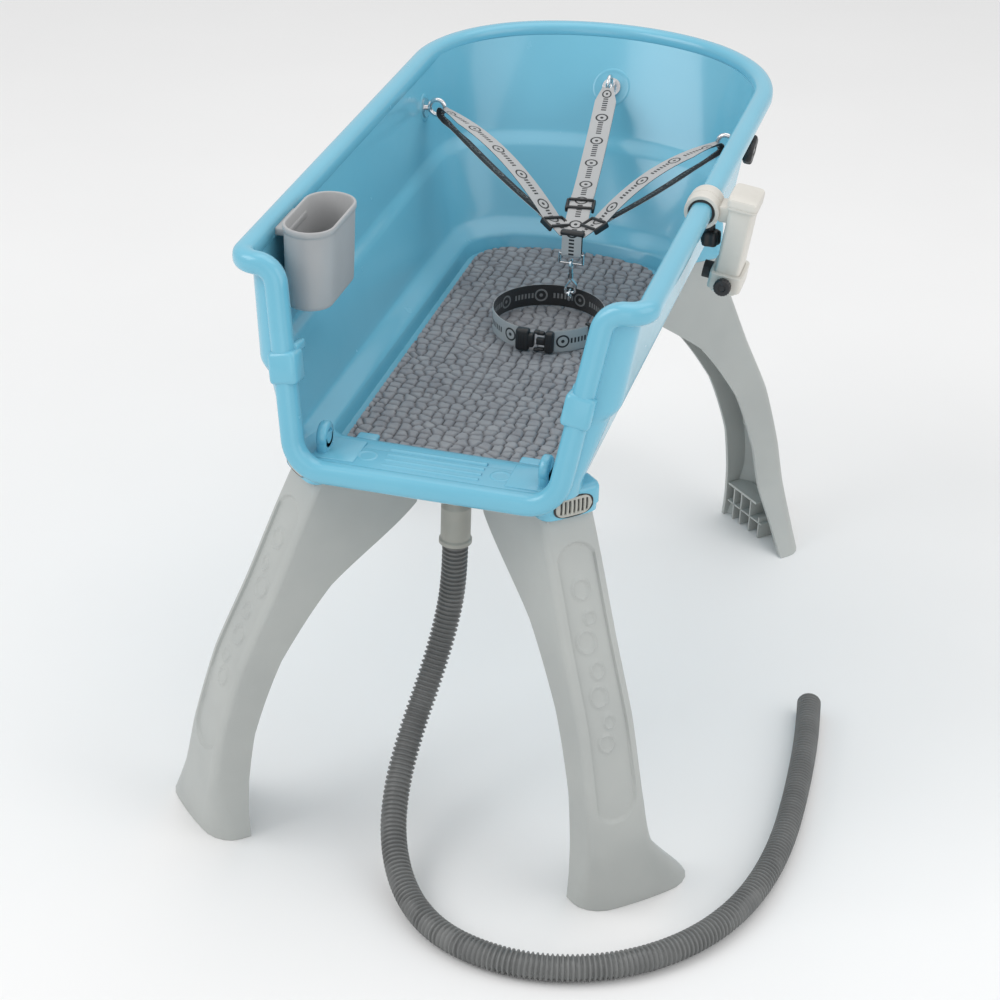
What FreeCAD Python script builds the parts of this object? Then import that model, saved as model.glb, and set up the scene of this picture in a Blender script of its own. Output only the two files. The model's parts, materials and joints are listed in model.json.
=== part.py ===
import FreeCAD, Part
import math
import os
import Sketcher

# Raised pet bathtub on four removable arched legs, with a floor mat, a bottom drain
# and hose, a three-point harness with collar, a bottle caddy and a clamp on the rim.
# Millimetres, +Z up. Inside this file y is counted from the front of the tub to its
# back; every piece is then placed so that the origin is under the middle of the part.

V = FreeCAD.Vector
os.makedirs("parts", exist_ok=True)
doc = FreeCAD.newDocument("pet_bathtub")
sheet = doc.addObject("Spreadsheet::Sheet", "Sizes")

SIZES = {
    # tub: half widths are of the inside at each level, backs are the inside's furthest y
    "wall_thick": 4, "rim_half_width": 199, "rim_back": 819, "rim_level": 619, "rim_roll_radius": 11,
    "rim_corner": 170, "rim_bow_over": 41, "rim_front_bend": 18, "front_roll_radius": 10.4,
    "shelf_level": 519, "shelf_half_width": 176, "shelf_back": 735, "shelf_step": 9,
    "ledge_level": 437, "ledge_half_width": 143, "ledge_back": 658,
    "floor_level": 411, "floor_half_width": 118, "floor_back": 627, "floor_front": 76,
    "front_corner": 26, "front_face": -4, "front_lean": 36, "lip_level": 424,
    "opening_half_low": 118, "opening_half_high": 158, "opening_corner": 26, "opening_top": 619,
    "sill_level": 430,
    # mat
    "mat_thick": 8, "mat_gap": 10,
    # drain
    "drain_y": 116, "drain_boss_radius": 34, "drain_boss_depth": 10,
    "strainer_flange_radius": 24, "strainer_flange_thick": 2.5, "tail_radius": 15, "tail_bore": 12,
    "tail_length": 24, "gasket_thick": 3, "gasket_radius": 28, "nut_thick": 8, "nut_flats": 50,
    "spout_wall": 2.5, "spout_length": 40, "coupling_radius": 17, "coupling_length": 50,
    "hose_radius": 13.5, "fit_clearance": 0.15,
    # legs: s runs outwards along the leg's diagonal, q across it
    "leg_wall": 5, "leg_left": 90, "leg_right": 150, "foot_right": 223, "foot_out": 190,
    "foot_in": 150, "leg_top": 398, "leg_mirror_y": 378,
    "socket_in": 56, "socket_out": 80, "socket_top": 425, "socket_wall": 6, "socket_side": 2,
    "tongue_thick": 9, "tongue_height": 24, "tongue_clearance": 1,
    "button_length": 41, "button_height": 20, "button_level": 412, "button_proud": 2.5,
    "button_gap": 0.4, "button_slot_width": 2.2, "button_slot_depth": 2,
    # harness anchors
    "anchor_y": 604, "anchor_level": 577, "back_anchor_level": 569, "eye_radius": 9,
    "eye_wire": 2.6, "stem_radius": 3, "washer_radius": 11, "washer_thick": 2,
    "star_radius": 18, "star_thick": 14, "star_lobe": 5, "running_gap": 0.3,
    # harness webbing, buckle and hook
    "web_width": 25, "web_thick": 2.4, "joint_x": 33, "joint_y": 448, "joint_level": 504,
    "tab_height": 26, "ring_wire": 1.6,
    "collar_x": 22, "collar_y": 397, "collar_radius": 62, "collar_gap": 0.6,
    "buckle_length": 44, "buckle_thick": 11,
    # caddy
    "caddy_length": 112, "caddy_width": 52, "caddy_height": 84, "caddy_wall": 2.5,
    "caddy_in": 25, "caddy_y": 134, "caddy_level": 551,
    # rim clamp with drop tube
    "clamp_y": 313, "clamp_length": 34, "liner_thick": 2, "clamp_thick": 5,
    "clamp_knob_radius": 10, "clamp_knob_length": 16, "clamp_screw_radius": 4,
    "tube_width": 26, "tube_depth": 44, "tube_length": 92, "tube_wall": 2.5, "tube_out": 41,
    "tube_lean": 8, "cap_over": 3, "cap_height": 12, "slider_height": 18, "slider_wall": 4,
    "slider_gap": 0.3, "thumb_radius": 9, "thumb_length": 12, "pad_radius": 9, "pad_length": 9,
}
for row, (alias, number) in enumerate(SIZES.items(), start=1):
    sheet.set("A%d" % row, alias)
    sheet.set("B%d" % row, str(number))
    sheet.setAlias("B%d" % row, alias)
doc.recompute()


def size(alias):
    return float(sheet.get(alias))


# ---- helpers -------------------------------------------------------------------------
foot_front = (size("leg_left") - size("foot_out") + 7.6) / math.sqrt(2)
ORIGIN_Y = (size("rim_back") + size("rim_roll_radius") + foot_front) / 2
nodes = []


def place(piece, x=0, y=0, z=0, rotation=None):
    """Puts a piece at a point whose y counts from the tub's front."""
    piece.Placement = FreeCAD.Placement(V(x, y - ORIGIN_Y, z), rotation or FreeCAD.Rotation())


def keep(piece, label):
    piece.Label = label
    nodes.append(piece)
    return piece


def bind(piece, **expressions):
    for name, expression in expressions.items():
        piece.setExpression(name, str(expression))
    return piece


def shape_node(label, shape, x=0, y=0, z=0, rotation=None):
    piece = doc.addObject("Part::Feature", label)
    piece.Shape = shape
    place(piece, x, y, z, rotation)
    return keep(piece, label)


def new_body(label):
    body = doc.addObject("PartDesign::Body", label)
    return keep(body, label)


def plane(body, role):
    return next(item for item in body.Origin.OriginFeatures if item.Role == role)


def sketch_on(body, role, name, lift=0):
    sketch = body.newObject("Sketcher::SketchObject", name)
    sketch.AttachmentSupport = [(plane(body, role), "")]
    sketch.MapMode = "FlatFace"
    sketch.AttachmentOffset = FreeCAD.Placement(V(0, 0, lift), FreeCAD.Rotation())
    return sketch


def value(expression):
    names = {alias: size(alias) for alias in SIZES}
    text = expression.replace("Sizes.", "")
    total, sign, word = 0.0, 1.0, ""
    for mark in text + "+":
        if mark in "+-":
            word = word.strip()
            if word:
                product = 1.0
                for factor in word.split("*"):
                    top, *under = factor.strip().split("/")
                    number = names[top.strip()] if top.strip() in names else float(top)
                    for divisor in under:
                        divisor = divisor.strip()
                        number /= names[divisor] if divisor in names else float(divisor)
                    product = product * number
                total += sign * product
            sign, word = (1.0 if mark == "+" else -1.0), ""
        else:
            word += mark
    return total


def pin_point(sketch, index, end, x, y):
    """Holds a sketch point at two bound distances from the sketch's origin."""
    for kind, expression in (("DistanceX", x), ("DistanceY", y)):
        number = value(expression)
        if abs(number) < 1e-9:
            axis_line = -2 if kind == "DistanceX" else -1
            sketch.addConstraint(Sketcher.Constraint("PointOnObject", index, end, axis_line))
            continue
        at = sketch.addConstraint(Sketcher.Constraint(kind, -1, 1, index, end, number))
        sketch.setExpression("Constraints[%d]" % at, expression)


def circle(sketch, x, y, radius):
    index = sketch.addGeometry(Part.Circle(V(value(x), value(y), 0), V(0, 0, 1), value(radius)))
    pin_point(sketch, index, 3, x, y)
    at = sketch.addConstraint(Sketcher.Constraint("Radius", index, value(radius)))
    sketch.setExpression("Constraints[%d]" % at, radius)


def outline(sketch, corners):
    """A closed straight-sided outline whose corners are bound expressions."""
    points = [V(value(x), value(y), 0) for x, y in corners]
    for i, start in enumerate(points):
        sketch.addGeometry(Part.LineSegment(start, points[(i + 1) % len(points)]))
    for i, (x, y) in enumerate(corners):
        sketch.addConstraint(Sketcher.Constraint("Coincident", i, 1, (i - 1) % len(points), 2))
        pin_point(sketch, i, 1, x, y)


def slot(sketch, half_run, radius):
    """A round-ended slot along the sketch's x, centred on its origin."""
    run, rad = value(half_run), value(radius)
    up = sketch.addGeometry(Part.LineSegment(V(-run, rad, 0), V(run, rad, 0)))
    right_circle = Part.Circle(V(run, 0, 0), V(0, 0, 1), rad)
    right = sketch.addGeometry(Part.ArcOfCircle(right_circle, -math.pi / 2, math.pi / 2))
    down = sketch.addGeometry(Part.LineSegment(V(run, -rad, 0), V(-run, -rad, 0)))
    left_circle = Part.Circle(V(-run, 0, 0), V(0, 0, 1), rad)
    left = sketch.addGeometry(Part.ArcOfCircle(left_circle, math.pi / 2, 3 * math.pi / 2))
    meetings = ((up, 2, right, 2), (right, 1, down, 1), (down, 2, left, 2), (left, 1, up, 1))
    for a, a_end, b, b_end in meetings:
        sketch.addConstraint(Sketcher.Constraint("Tangent", a, a_end, b, b_end))
    pin_point(sketch, right, 3, half_run, "0")
    sketch.addConstraint(Sketcher.Constraint("Symmetric", left, 3, right, 3, -1, 1))
    at = sketch.addConstraint(Sketcher.Constraint("Radius", right, rad))
    sketch.setExpression("Constraints[%d]" % at, radius)


def pad(body, sketch, length, name="Pad", symmetric=False, taper=None):
    feature = body.newObject("PartDesign::Pad", name)
    feature.Profile = sketch
    feature.setExpression("Length", length)
    if symmetric:
        feature.Midplane = True
    if taper:
        feature.setExpression("TaperAngle", taper)
    doc.recompute()
    return feature


def pocket(body, sketch, length, name="Pocket", taper=None, symmetric=False):
    """Cuts into the solid, towards the side where it takes more away."""
    doc.recompute()
    before = body.Shape.Volume
    feature = body.newObject("PartDesign::Pocket", name)
    feature.Profile = sketch
    feature.setExpression("Length", length)
    if symmetric:
        feature.Midplane = True
    if taper:
        feature.setExpression("TaperAngle", taper)
    doc.recompute()
    forward = body.Shape.Volume
    if not symmetric:
        feature.Reversed = True
        doc.recompute()
        if body.Shape.Volume > forward:
            feature.Reversed = False
            doc.recompute()
    if body.Shape.Volume > before - 1e-3:
        raise RuntimeError(body.Label + ": a pocket cuts nothing")
    return feature


def revolve(body, sketch, name="Revolution"):
    feature = body.newObject("PartDesign::Revolution", name)
    feature.Profile = sketch
    feature.ReferenceAxis = (sketch, ["V_Axis"])
    feature.Angle = 360
    doc.recompute()
    return feature


def polar(body, feature, count, name="Pattern"):
    before = body.Shape.Volume
    pattern = body.newObject("PartDesign::PolarPattern", name)
    pattern.Originals = [feature]
    pattern.Axis = (next(i for i in body.Origin.OriginFeatures if i.Role == "Z_Axis"), [""])
    pattern.Angle = 360
    pattern.Occurrences = count
    body.Tip = pattern
    doc.recompute()
    if abs(body.Shape.Volume - before) < 1e-3:
        raise RuntimeError(body.Label + ": the pattern changes nothing")
    return pattern


def turned(label, corners):
    """A body of revolution about Z from an outline of (radius, height) corners."""
    body = new_body(label)
    sketch = sketch_on(body, "XZ_Plane", label + "_outline")
    outline(sketch, corners)
    revolve(body, sketch)
    return body


# ---- tub -----------------------------------------------------------------------------
def ring_outline(half, back, corner, bow, front, z, front_corner):
    """One level of the tub: straight sides, a round-cornered front, a bowed back."""
    side_end = back - bow + math.sqrt((bow - corner) ** 2 - (half - corner) ** 2)
    tilt = math.atan2(half - corner, side_end - (back - bow))
    join = V((half - corner) + corner * math.sin(tilt), side_end + corner * math.cos(tilt), z)
    mid_turn = (math.pi / 2 - tilt) / 2
    mid = V((half - corner) + corner * math.cos(mid_turn), side_end + corner * math.sin(mid_turn), z)
    diagonal = front_corner * (1 - math.sqrt(0.5))

    def flip(point):
        return V(-point.x, point.y, point.z)

    right_low, right_high = V(half, front + front_corner, z), V(half, side_end, z)
    sill = V(half - front_corner, front, z)
    corner_mid = V(half - diagonal, front + diagonal, z)
    edges = [
        Part.LineSegment(flip(sill), sill),
        Part.Arc(sill, corner_mid, right_low),
        Part.LineSegment(right_low, right_high),
        Part.Arc(right_high, mid, join),
        Part.Arc(join, V(0, back, z), flip(join)),
        Part.Arc(flip(join), flip(mid), flip(right_high)),
        Part.LineSegment(flip(right_high), flip(right_low)),
        Part.Arc(flip(right_low), flip(corner_mid), flip(sill)),
    ]
    return Part.Wire([edge.toShape() for edge in edges])


def lean_at(z):
    """How far back the front wall stands at a height."""
    low = size("lip_level")
    return size("front_face") + size("front_lean") * max(0, z - low) / (size("rim_level") - low)


def tub_levels(out):
    """Half width, back, corner, bow, front and height of each level, from the floor up."""
    wall = size("wall_thick")
    step = size("shelf_step")
    sill_in = wall if out == 0 else 0
    rows = [
        (size("floor_half_width"), size("floor_back"), 55, 350, size("floor_front"),
         size("floor_level"), 20),
        (size("floor_half_width") + 5, size("floor_back") + 7, 60, 350, size("floor_front"),
         size("sill_level") - 3, 20),
        (size("ledge_half_width"), size("ledge_back"), 75, 330, None, size("ledge_level"), None),
        (size("shelf_half_width") - step, size("shelf_back") - 2 * step, 90, 300, None,
         size("shelf_level") - step, None),
        (size("shelf_half_width"), size("shelf_back"), 95, 300, None, size("shelf_level"), None),
        (size("rim_half_width") - step, size("rim_back") - 2 * step, size("rim_corner") - step,
         size("rim_half_width") + size("rim_bow_over") - step, None, size("rim_level"), None),
    ]
    levels = []
    for half, back, corner, bow, front, z, front_corner in rows:
        height = z - (wall if out else 0)
        if front is None or out:
            front = lean_at(z) + sill_in
            front_corner = size("front_corner")
        levels.append((half + out, back + out, corner, bow, front, height, front_corner))
    return levels


def stack(levels):
    """A solid through the levels, one straight-sided slice at a time."""
    solid = None
    for low, high in zip(levels, levels[1:]):
        slice_ = Part.makeLoft([ring_outline(*low), ring_outline(*high)], True, True)
        solid = slice_ if solid is None else solid.fuse(slice_)
    return solid


def diag_point(s, q, z, side=1, end=1):
    """A point in a leg's own frame; side is +1 right, end is +1 front and -1 back."""
    x, y = (s + q) / math.sqrt(2), (q - s) / math.sqrt(2)
    if end < 0:
        y = 2 * size("leg_mirror_y") - y
    return V(side * x, y, z)


CORNERS = {"front_right": (1, 1), "front_left": (-1, 1), "back_right": (1, -1), "back_left": (-1, -1)}


def diag_box(s0, s1, q0, q1, z0, z1, side, end):
    """A box set square to a corner's diagonal."""
    outline_marks = ((s0, q0), (s1, q0), (s1, q1), (s0, q1), (s0, q0))
    points = [diag_point(s, q, z0, side, end) for s, q in outline_marks]
    return Part.Face(Part.makePolygon(points)).extrude(V(0, 0, z1 - z0))


def diag_slot(s0, s1, q, z, length, height, side, end):
    """A round-ended prism along the leg's diagonal, from s0 to s1."""
    run, rad = (length - height) / 2, height / 2
    marks = [(-run, rad), (run, rad), (run + rad, 0), (run, -rad), (-run, -rad), (-run - rad, 0)]
    p = [diag_point(s0, q + a, z + b, side, end) for a, b in marks]
    edges = [Part.LineSegment(p[0], p[1]), Part.Arc(p[1], p[2], p[3]),
             Part.LineSegment(p[3], p[4]), Part.Arc(p[4], p[5], p[0])]
    face = Part.Face(Part.Wire([edge.toShape() for edge in edges]))
    return face.extrude(diag_point(s1, q, z, side, end) - diag_point(s0, q, z, side, end))


def tube_round(points, radius, bends):
    """A round bar along straight runs with arcs of the given radii at the inner points."""
    edges = []
    last = points[0]
    for before, corner, after, bend in zip(points, points[1:], points[2:], bends):
        a, b = (before - corner), (after - corner)
        a.normalize()
        b.normalize()
        half_turn = (math.pi - a.getAngle(b)) / 2
        cut = bend * math.tan(half_turn)
        start, finish = corner + a * cut, corner + b * cut
        centre_way = a + b
        centre_way.normalize()
        middle = corner + centre_way * (bend / math.cos(half_turn) - bend)
        if (start - last).Length > 1e-6:
            edges.append(Part.LineSegment(last, start).toShape())
        edges.append(Part.Arc(start, middle, finish).toShape())
        last = finish
    edges.append(Part.LineSegment(last, points[-1]).toShape())
    path = Part.Wire(edges)
    first = points[1] - points[0]
    disc = Part.Wire([Part.Circle(points[0], first, radius).toShape()])
    return path.makePipeShell([disc], True, True, 1), path.Length


def rim_roll():
    """The rolled edge round the sides and back, then along the flanges and the opening."""
    radius = size("rim_roll_radius")
    half, back = size("rim_half_width"), size("rim_back")
    z = size("rim_level")
    bow, corner = size("rim_half_width") + size("rim_bow_over"), size("rim_corner")
    side_end = back - bow + math.sqrt((bow - corner) ** 2 - (half - corner) ** 2)
    tilt = math.atan2(half - corner, side_end - (back - bow))
    join = V((half - corner) + corner * math.sin(tilt), side_end + corner * math.cos(tilt), z)
    mid_turn = (math.pi / 2 - tilt) / 2
    mid = V((half - corner) + corner * math.cos(mid_turn), side_end + corner * math.sin(mid_turn), z)
    bend = size("rim_front_bend")
    front = lean_at(z)
    turn = bend * (1 - math.sqrt(0.5))

    def flip(point):
        return V(-point.x, point.y, point.z)

    right = [
        Part.Arc(V(half - bend, front, z), V(half - turn, front + turn, z), V(half, front + bend, z)),
        Part.LineSegment(V(half, front + bend, z), V(half, side_end, z)),
        Part.Arc(V(half, side_end, z), mid, join),
    ]
    left = [
        Part.Arc(flip(join), flip(mid), V(-half, side_end, z)),
        Part.LineSegment(V(-half, side_end, z), V(-half, front + bend, z)),
        Part.Arc(V(-half, front + bend, z), V(turn - half, front + turn, z), V(bend - half, front, z)),
    ]
    bar = right + [Part.Arc(join, V(0, back, z), flip(join))] + left
    path = Part.Wire([edge.toShape() for edge in bar])
    disc = Part.Wire([Part.Circle(V(half - bend, front, z), V(1, 0, 0), radius).toShape()])
    return path.makePipeShell([disc], True, True, 1)


def front_roll():
    """The rolled edge of the front opening: down one post, along the sill, up the other."""
    low, high = size("lip_level"), size("opening_top")
    half_low, half_high = size("opening_half_low") + 12, size("opening_half_high") + 4
    bend = size("opening_corner")
    end = size("rim_half_width") - size("rim_front_bend") + 1
    marks = [(end, high), (half_high, high), (half_low, low)]
    marks += [(-x, z) for x, z in marks[::-1]]
    points = [V(x, lean_at(z), z) for x, z in marks]
    solid, _ = tube_round(points, size("front_roll_radius"), [bend * 0.75, bend, bend, bend * 0.75])
    return solid


def front_cut():
    """The open front: everything inside the rolled edge, through the front wall."""
    low, high = size("lip_level"), size("opening_top")
    half_low, half_high = size("opening_half_low") + 12, size("opening_half_high") + 4
    y = size("front_face") - 40
    marks = [(-half_low, low), (half_low, low), (half_high, high), (half_high, high + 60),
             (-half_high, high + 60), (-half_high, high)]
    points = [V(x, y, z) for x, z in marks]
    face = Part.Face(Part.makePolygon(points + points[:1]))
    return face.extrude(V(0, 40 + size("front_lean") + 20 - size("front_face") + size("front_face"), 0))


def anchor_frames():
    """Where the three harness bolts go through the wall: point on the inside, inward way."""
    step = size("shelf_step")
    rise = size("rim_level") - size("shelf_level")
    out_side = size("rim_half_width") - step - size("shelf_half_width")
    out_back = size("rim_back") - 2 * step - size("shelf_back")
    z = size("anchor_level")
    x = size("shelf_half_width") + out_side * (z - size("shelf_level")) / rise
    side_way = V(rise, 0, -out_side)
    side_way.normalize()
    zb = size("back_anchor_level")
    yb = size("shelf_back") + out_back * (zb - size("shelf_level")) / rise
    back_way = V(0, rise, -out_back)
    back_way.normalize()
    return {
        "left": (V(-x, size("anchor_y"), z), V(side_way.x, 0, -side_way.z)),
        "right": (V(x, size("anchor_y"), z), V(-side_way.x, 0, -side_way.z)),
        "back": (V(0, yb, zb), V(0, -back_way.y, -back_way.z)),
    }


def make_tub():
    wall = size("wall_thick")
    outer = stack(tub_levels(wall))
    low = min(level[5] for level in tub_levels(wall))
    for side, end in CORNERS.values():
        outer = outer.fuse(socket_block(side, end))
    inside = tub_levels(0)
    inner = stack(inside)
    head = list(inside[-1])
    head[5] += 40
    inner = inner.fuse(Part.makeLoft([ring_outline(*inside[-1]), ring_outline(*head)], True, True))
    sill = Part.makeBox(2 * (size("opening_half_low") + 4), 64 - wall, size("sill_level") - low - wall - 2,
                        V(-size("opening_half_low") - 4, wall + 2, low - 2))
    boss = Part.makeCylinder(size("drain_boss_radius"), size("drain_boss_depth"),
                             V(0, size("drain_y"), size("floor_level") - size("drain_boss_depth")))
    shell = outer.cut(inner).cut(front_cut())
    keep_sockets = None
    for side, end in CORNERS.values():
        block = diag_box(size("socket_in"), size("socket_out"),
                         size("leg_left") - size("socket_side"), size("leg_right") + size("socket_side"),
                         size("leg_top"), size("socket_top"), side, end)
        keep_sockets = block if keep_sockets is None else keep_sockets.fuse(block)
    shell = shell.cut(sill.cut(keep_sockets)).fuse(boss)
    shell = shell.fuse(rim_roll()).fuse(front_roll())
    hole = size("tail_radius") + 2 * size("fit_clearance")
    shell = shell.cut(Part.makeCylinder(hole, 60, V(0, size("drain_y"), low - 20)))
    flange = size("strainer_flange_radius") + size("fit_clearance")
    flange_base = V(0, size("drain_y"), size("floor_level") - size("strainer_flange_thick"))
    shell = shell.cut(Part.makeCylinder(flange, 20, flange_base))
    for side, end in CORNERS.values():
        shell = shell.cut(socket_room(side, end))
        shell = shell.cut(diag_slot(size("socket_out") - 20, size("socket_out") + 20,
                                    button_q(), size("button_level"),
                                    size("button_length") + 2 * size("button_gap"),
                                    size("button_height") + 2 * size("button_gap"), side, end))
    stem_room = size("stem_radius") + size("fit_clearance")
    for point, way in anchor_frames().values():
        shell = shell.cut(Part.makeCylinder(stem_room, 60, point - way * 30, way))
    return shell


def socket_block(side, end):
    """The solid corner block that a leg plugs into; at the back it tapers into the hull."""
    inner, out = size("socket_in"), size("socket_out")
    top = size("socket_top") if end > 0 else size("shelf_level") + 10
    taper = 0 if end > 0 else 20
    left = size("leg_left") - size("socket_side")
    outer_top = size("socket_top") + (10 if end < 0 else 0)
    marks = [(inner, size("leg_top")), (out, size("leg_top")), (out, outer_top),
             (out - taper, top), (inner, top)]
    marks = [mark for i, mark in enumerate(marks) if mark not in marks[:i]]
    points = [diag_point(s, left, z, side, end) for s, z in marks]
    across = diag_point(0, 1, 0, side, end) - diag_point(0, 0, 0, side, end)
    face = Part.Face(Part.makePolygon(points + points[:1]))
    return face.extrude(across * (size("leg_right") + size("socket_side") - left))


def button_q():
    return (size("leg_left") + size("leg_right")) / 2


def socket_room(side, end):
    """The pocket under a corner that takes a leg's tongue."""
    gap, wall = size("tongue_clearance"), size("socket_wall")
    return diag_box(size("socket_in") + 3, size("socket_out") - wall, size("leg_left") + wall,
                    size("leg_right") - wall, size("leg_top") - 5,
                    size("leg_top") + size("tongue_height") + gap, side, end)


shape_node("tub_shell", make_tub())

gap = size("mat_gap")
mat_wire = ring_outline(size("floor_half_width") - gap, size("floor_back") - gap, 50, 340,
                        size("floor_front") + 2, size("floor_level"), 12)
shape_node("floor_mat", Part.Face(mat_wire).extrude(V(0, 0, size("mat_thick"))))

# ---- drain ---------------------------------------------------------------------------
strainer = new_body("drain_strainer")
profile = sketch_on(strainer, "XZ_Plane", "strainer_outline")
outline(profile, [("0", "0-Sizes.strainer_flange_thick"),
                  ("Sizes.tail_bore", "0-Sizes.strainer_flange_thick"),
                  ("Sizes.tail_bore", "0-Sizes.tail_length"), ("Sizes.tail_radius", "0-Sizes.tail_length"),
                  ("Sizes.tail_radius", "0-Sizes.strainer_flange_thick"),
                  ("Sizes.strainer_flange_radius", "0-Sizes.strainer_flange_thick"),
                  ("Sizes.strainer_flange_radius", "0"), ("0", "0")])
revolve(strainer, profile)
hole_sketch = sketch_on(strainer, "XY_Plane", "strainer_hole")
circle(hole_sketch, "Sizes.tail_bore*0.6", "0", "Sizes.tail_bore*0.2")
hole_cut = pocket(strainer, hole_sketch, "Sizes.strainer_flange_thick*3", symmetric=True)
polar(strainer, hole_cut, 7)
place(strainer, 0, size("drain_y"), size("floor_level"))

gasket = turned("drain_gasket", [("Sizes.tail_radius+Sizes.fit_clearance", "0"),
                                 ("Sizes.gasket_radius", "0"),
                                 ("Sizes.gasket_radius", "Sizes.gasket_thick"),
                                 ("Sizes.tail_radius+Sizes.fit_clearance", "Sizes.gasket_thick")])
gasket_z = size("floor_level") - size("drain_boss_depth") - size("gasket_thick")
place(gasket, 0, size("drain_y"), gasket_z)

nut = new_body("drain_locknut")
nut_sketch = sketch_on(nut, "XY_Plane", "nut_outline")
circle(nut_sketch, "0", "0", "Sizes.nut_flats/2")
circle(nut_sketch, "0", "0", "Sizes.tail_radius+Sizes.fit_clearance")
pad(nut, nut_sketch, "Sizes.nut_thick")
notch_sketch = sketch_on(nut, "XY_Plane", "nut_notch")
circle(notch_sketch, "Sizes.nut_flats/2+1", "0", "3")
notch = pocket(nut, notch_sketch, "Sizes.nut_thick*3", symmetric=True)
polar(nut, notch, 8)
nut_z = gasket_z - size("nut_thick")
place(nut, 0, size("drain_y"), nut_z)

spout_z = nut_z - size("spout_length")
tail_in_spout = nut_z - (size("floor_level") - size("tail_length"))
spout_outer = "Sizes.tail_radius+Sizes.spout_wall"
spout = turned("drain_spout", [
    ("Sizes.tail_bore", "0"), (spout_outer + "-1.5", "0"), (spout_outer + "-1.5", "6"),
    (spout_outer, "8"), (spout_outer, "Sizes.spout_length"),
    ("Sizes.tail_radius+Sizes.fit_clearance", "Sizes.spout_length"),
    ("Sizes.tail_radius+Sizes.fit_clearance", "Sizes.spout_length-%.2f" % (tail_in_spout + 0.5)),
    ("Sizes.tail_bore", "Sizes.spout_length-%.2f" % (tail_in_spout + 0.5))])
place(spout, 0, size("drain_y"), spout_z)

# The hose's route: the point it leaves the coupling by, its drop, then its curve on the
# floor. Its first run leaves in line with the coupling.
HOSE_ROUTE = [
    V(0, 116, 300), V(0, 116, 252), V(-5, 103, 203), V(-13, 77, 155), V(-22, 40, 109), V(-24, -4, 68),
    V(-13, -52, 37), V(14, -102, 18.5), V(52, -143, 13.5), V(98, -168, 13.5), V(157, -177, 13.5),
    V(214, -165, 13.5), V(266, -137, 13.5), V(310, -92, 13.5), V(341, -36, 13.5), V(359, 28, 13.5),
    V(367, 99, 13.5), V(367, 172, 13.5), V(364, 246, 13.5), V(359, 312, 13.5), V(352, 367, 13.5),
]


def cord_tube(route, radius):
    """A tube of straight runs joined by tangent arcs; prints its length and tightest arc."""
    bends = []
    for before, corner, after in zip(route, route[1:], route[2:]):
        a, b = corner - before, after - corner
        half_turn = a.getAngle(b) / 2
        bends.append(0.45 * min(a.Length, b.Length) / math.tan(half_turn))
    solid, length = tube_round(route, radius, bends)
    error = solid.Volume / (math.pi * radius ** 2 * length) - 1
    print("hose length %.1f mm, volume error %.4f, arcs" % (length, error), [round(bend) for bend in bends])
    return solid


way = HOSE_ROUTE[0] - HOSE_ROUTE[1]
way.normalize()
coupling = turned("hose_coupling", [
    ("0", "0"), ("Sizes.coupling_radius", "0"), ("Sizes.coupling_radius", "4"),
    ("Sizes.coupling_radius-1.5", "6"), ("Sizes.coupling_radius-1.5", "Sizes.coupling_length-8"),
    ("Sizes.tail_bore", "Sizes.coupling_length"), ("0", "Sizes.coupling_length")])
start = HOSE_ROUTE[0]
place(coupling, start.x, start.y, start.z, FreeCAD.Rotation(V(0, 0, 1), way))
shape_node("drain_hose", cord_tube(HOSE_ROUTE, size("hose_radius")))

# ---- legs and their release buttons ---------------------------------------------------
# Each row is a level of the leg: height, outer face, free edge of the side walls,
# right side, and how far the outer corners are cut back.
LEG_LEVELS = [
    (398, 70, -50, 150, 8), (352, 92, -40, 151, 9), (280, 124, 56, 152, 9), (206, 160, 112, 153, 9),
    (127, 184, 143, 155, 9), (70, 192, 151, 165, 12), (30, 192, 152, 196, 26),
    (0, size("foot_out"), size("foot_in"), size("foot_right"), 36),
]


def leg_section(level, inset, side, end):
    z, face, free, right, cut = level
    left = size("leg_left")
    right = right - 150 + size("leg_right")
    out = face - inset
    back = free - (5 if inset else 0)
    shoulder = face - cut * 0.8 - inset * 0.4
    marks = [(back, left + inset), (shoulder, left + inset), (out, left + cut + inset * 0.4),
             (out, right - cut - inset * 0.4), (shoulder, right - inset), (back, right - inset)]
    points = [diag_point(s, q, z, side, end) for s, q in marks]
    return Part.makePolygon(points + points[:1])


# The lower and upper level of the shelf inside each foot.
FOOT_SHELF = (44, 48)


def make_leg(side, end):
    wall = size("leg_wall")
    outer = Part.makeLoft([leg_section(level, 0, side, end) for level in LEG_LEVELS], True, True)
    inner_levels = [(z - 1 if i == 0 else z, *rest) for i, (z, *rest) in enumerate(LEG_LEVELS)]
    inner_levels[0] = (LEG_LEVELS[0][0] - wall, *LEG_LEVELS[0][1:])
    inner_levels[-1] = (-1, *LEG_LEVELS[-1][1:])
    inner_sections = [leg_section(level, wall, side, end) for level in inner_levels]
    leg = outer.cut(Part.makeLoft(inner_sections, True, True))
    middle = (size("leg_left") + size("leg_right")) / 2
    low, high = FOOT_SHELF
    shelf = diag_box(size("foot_in") + 2, size("foot_out") - 4,
                     size("leg_left") + 2, size("leg_right") + 14, low, high, side, end)
    rib = diag_box(size("foot_in") + 4, size("foot_out") - 2, middle - 2, middle + 2,
                   0, (low + high) / 2, side, end)
    leg = leg.fuse(shelf.fuse(rib).common(outer))
    gap, socket_wall = size("tongue_clearance"), size("socket_wall")
    tongue_in = size("socket_in") + 3 + gap
    tongue = diag_box(tongue_in, tongue_in + size("tongue_thick") - gap,
                      size("leg_left") + socket_wall + gap, size("leg_right") - socket_wall - gap,
                      size("leg_top") - 8, size("leg_top") + size("tongue_height"), side, end)
    return leg.fuse(tongue).removeSplitter()


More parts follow.
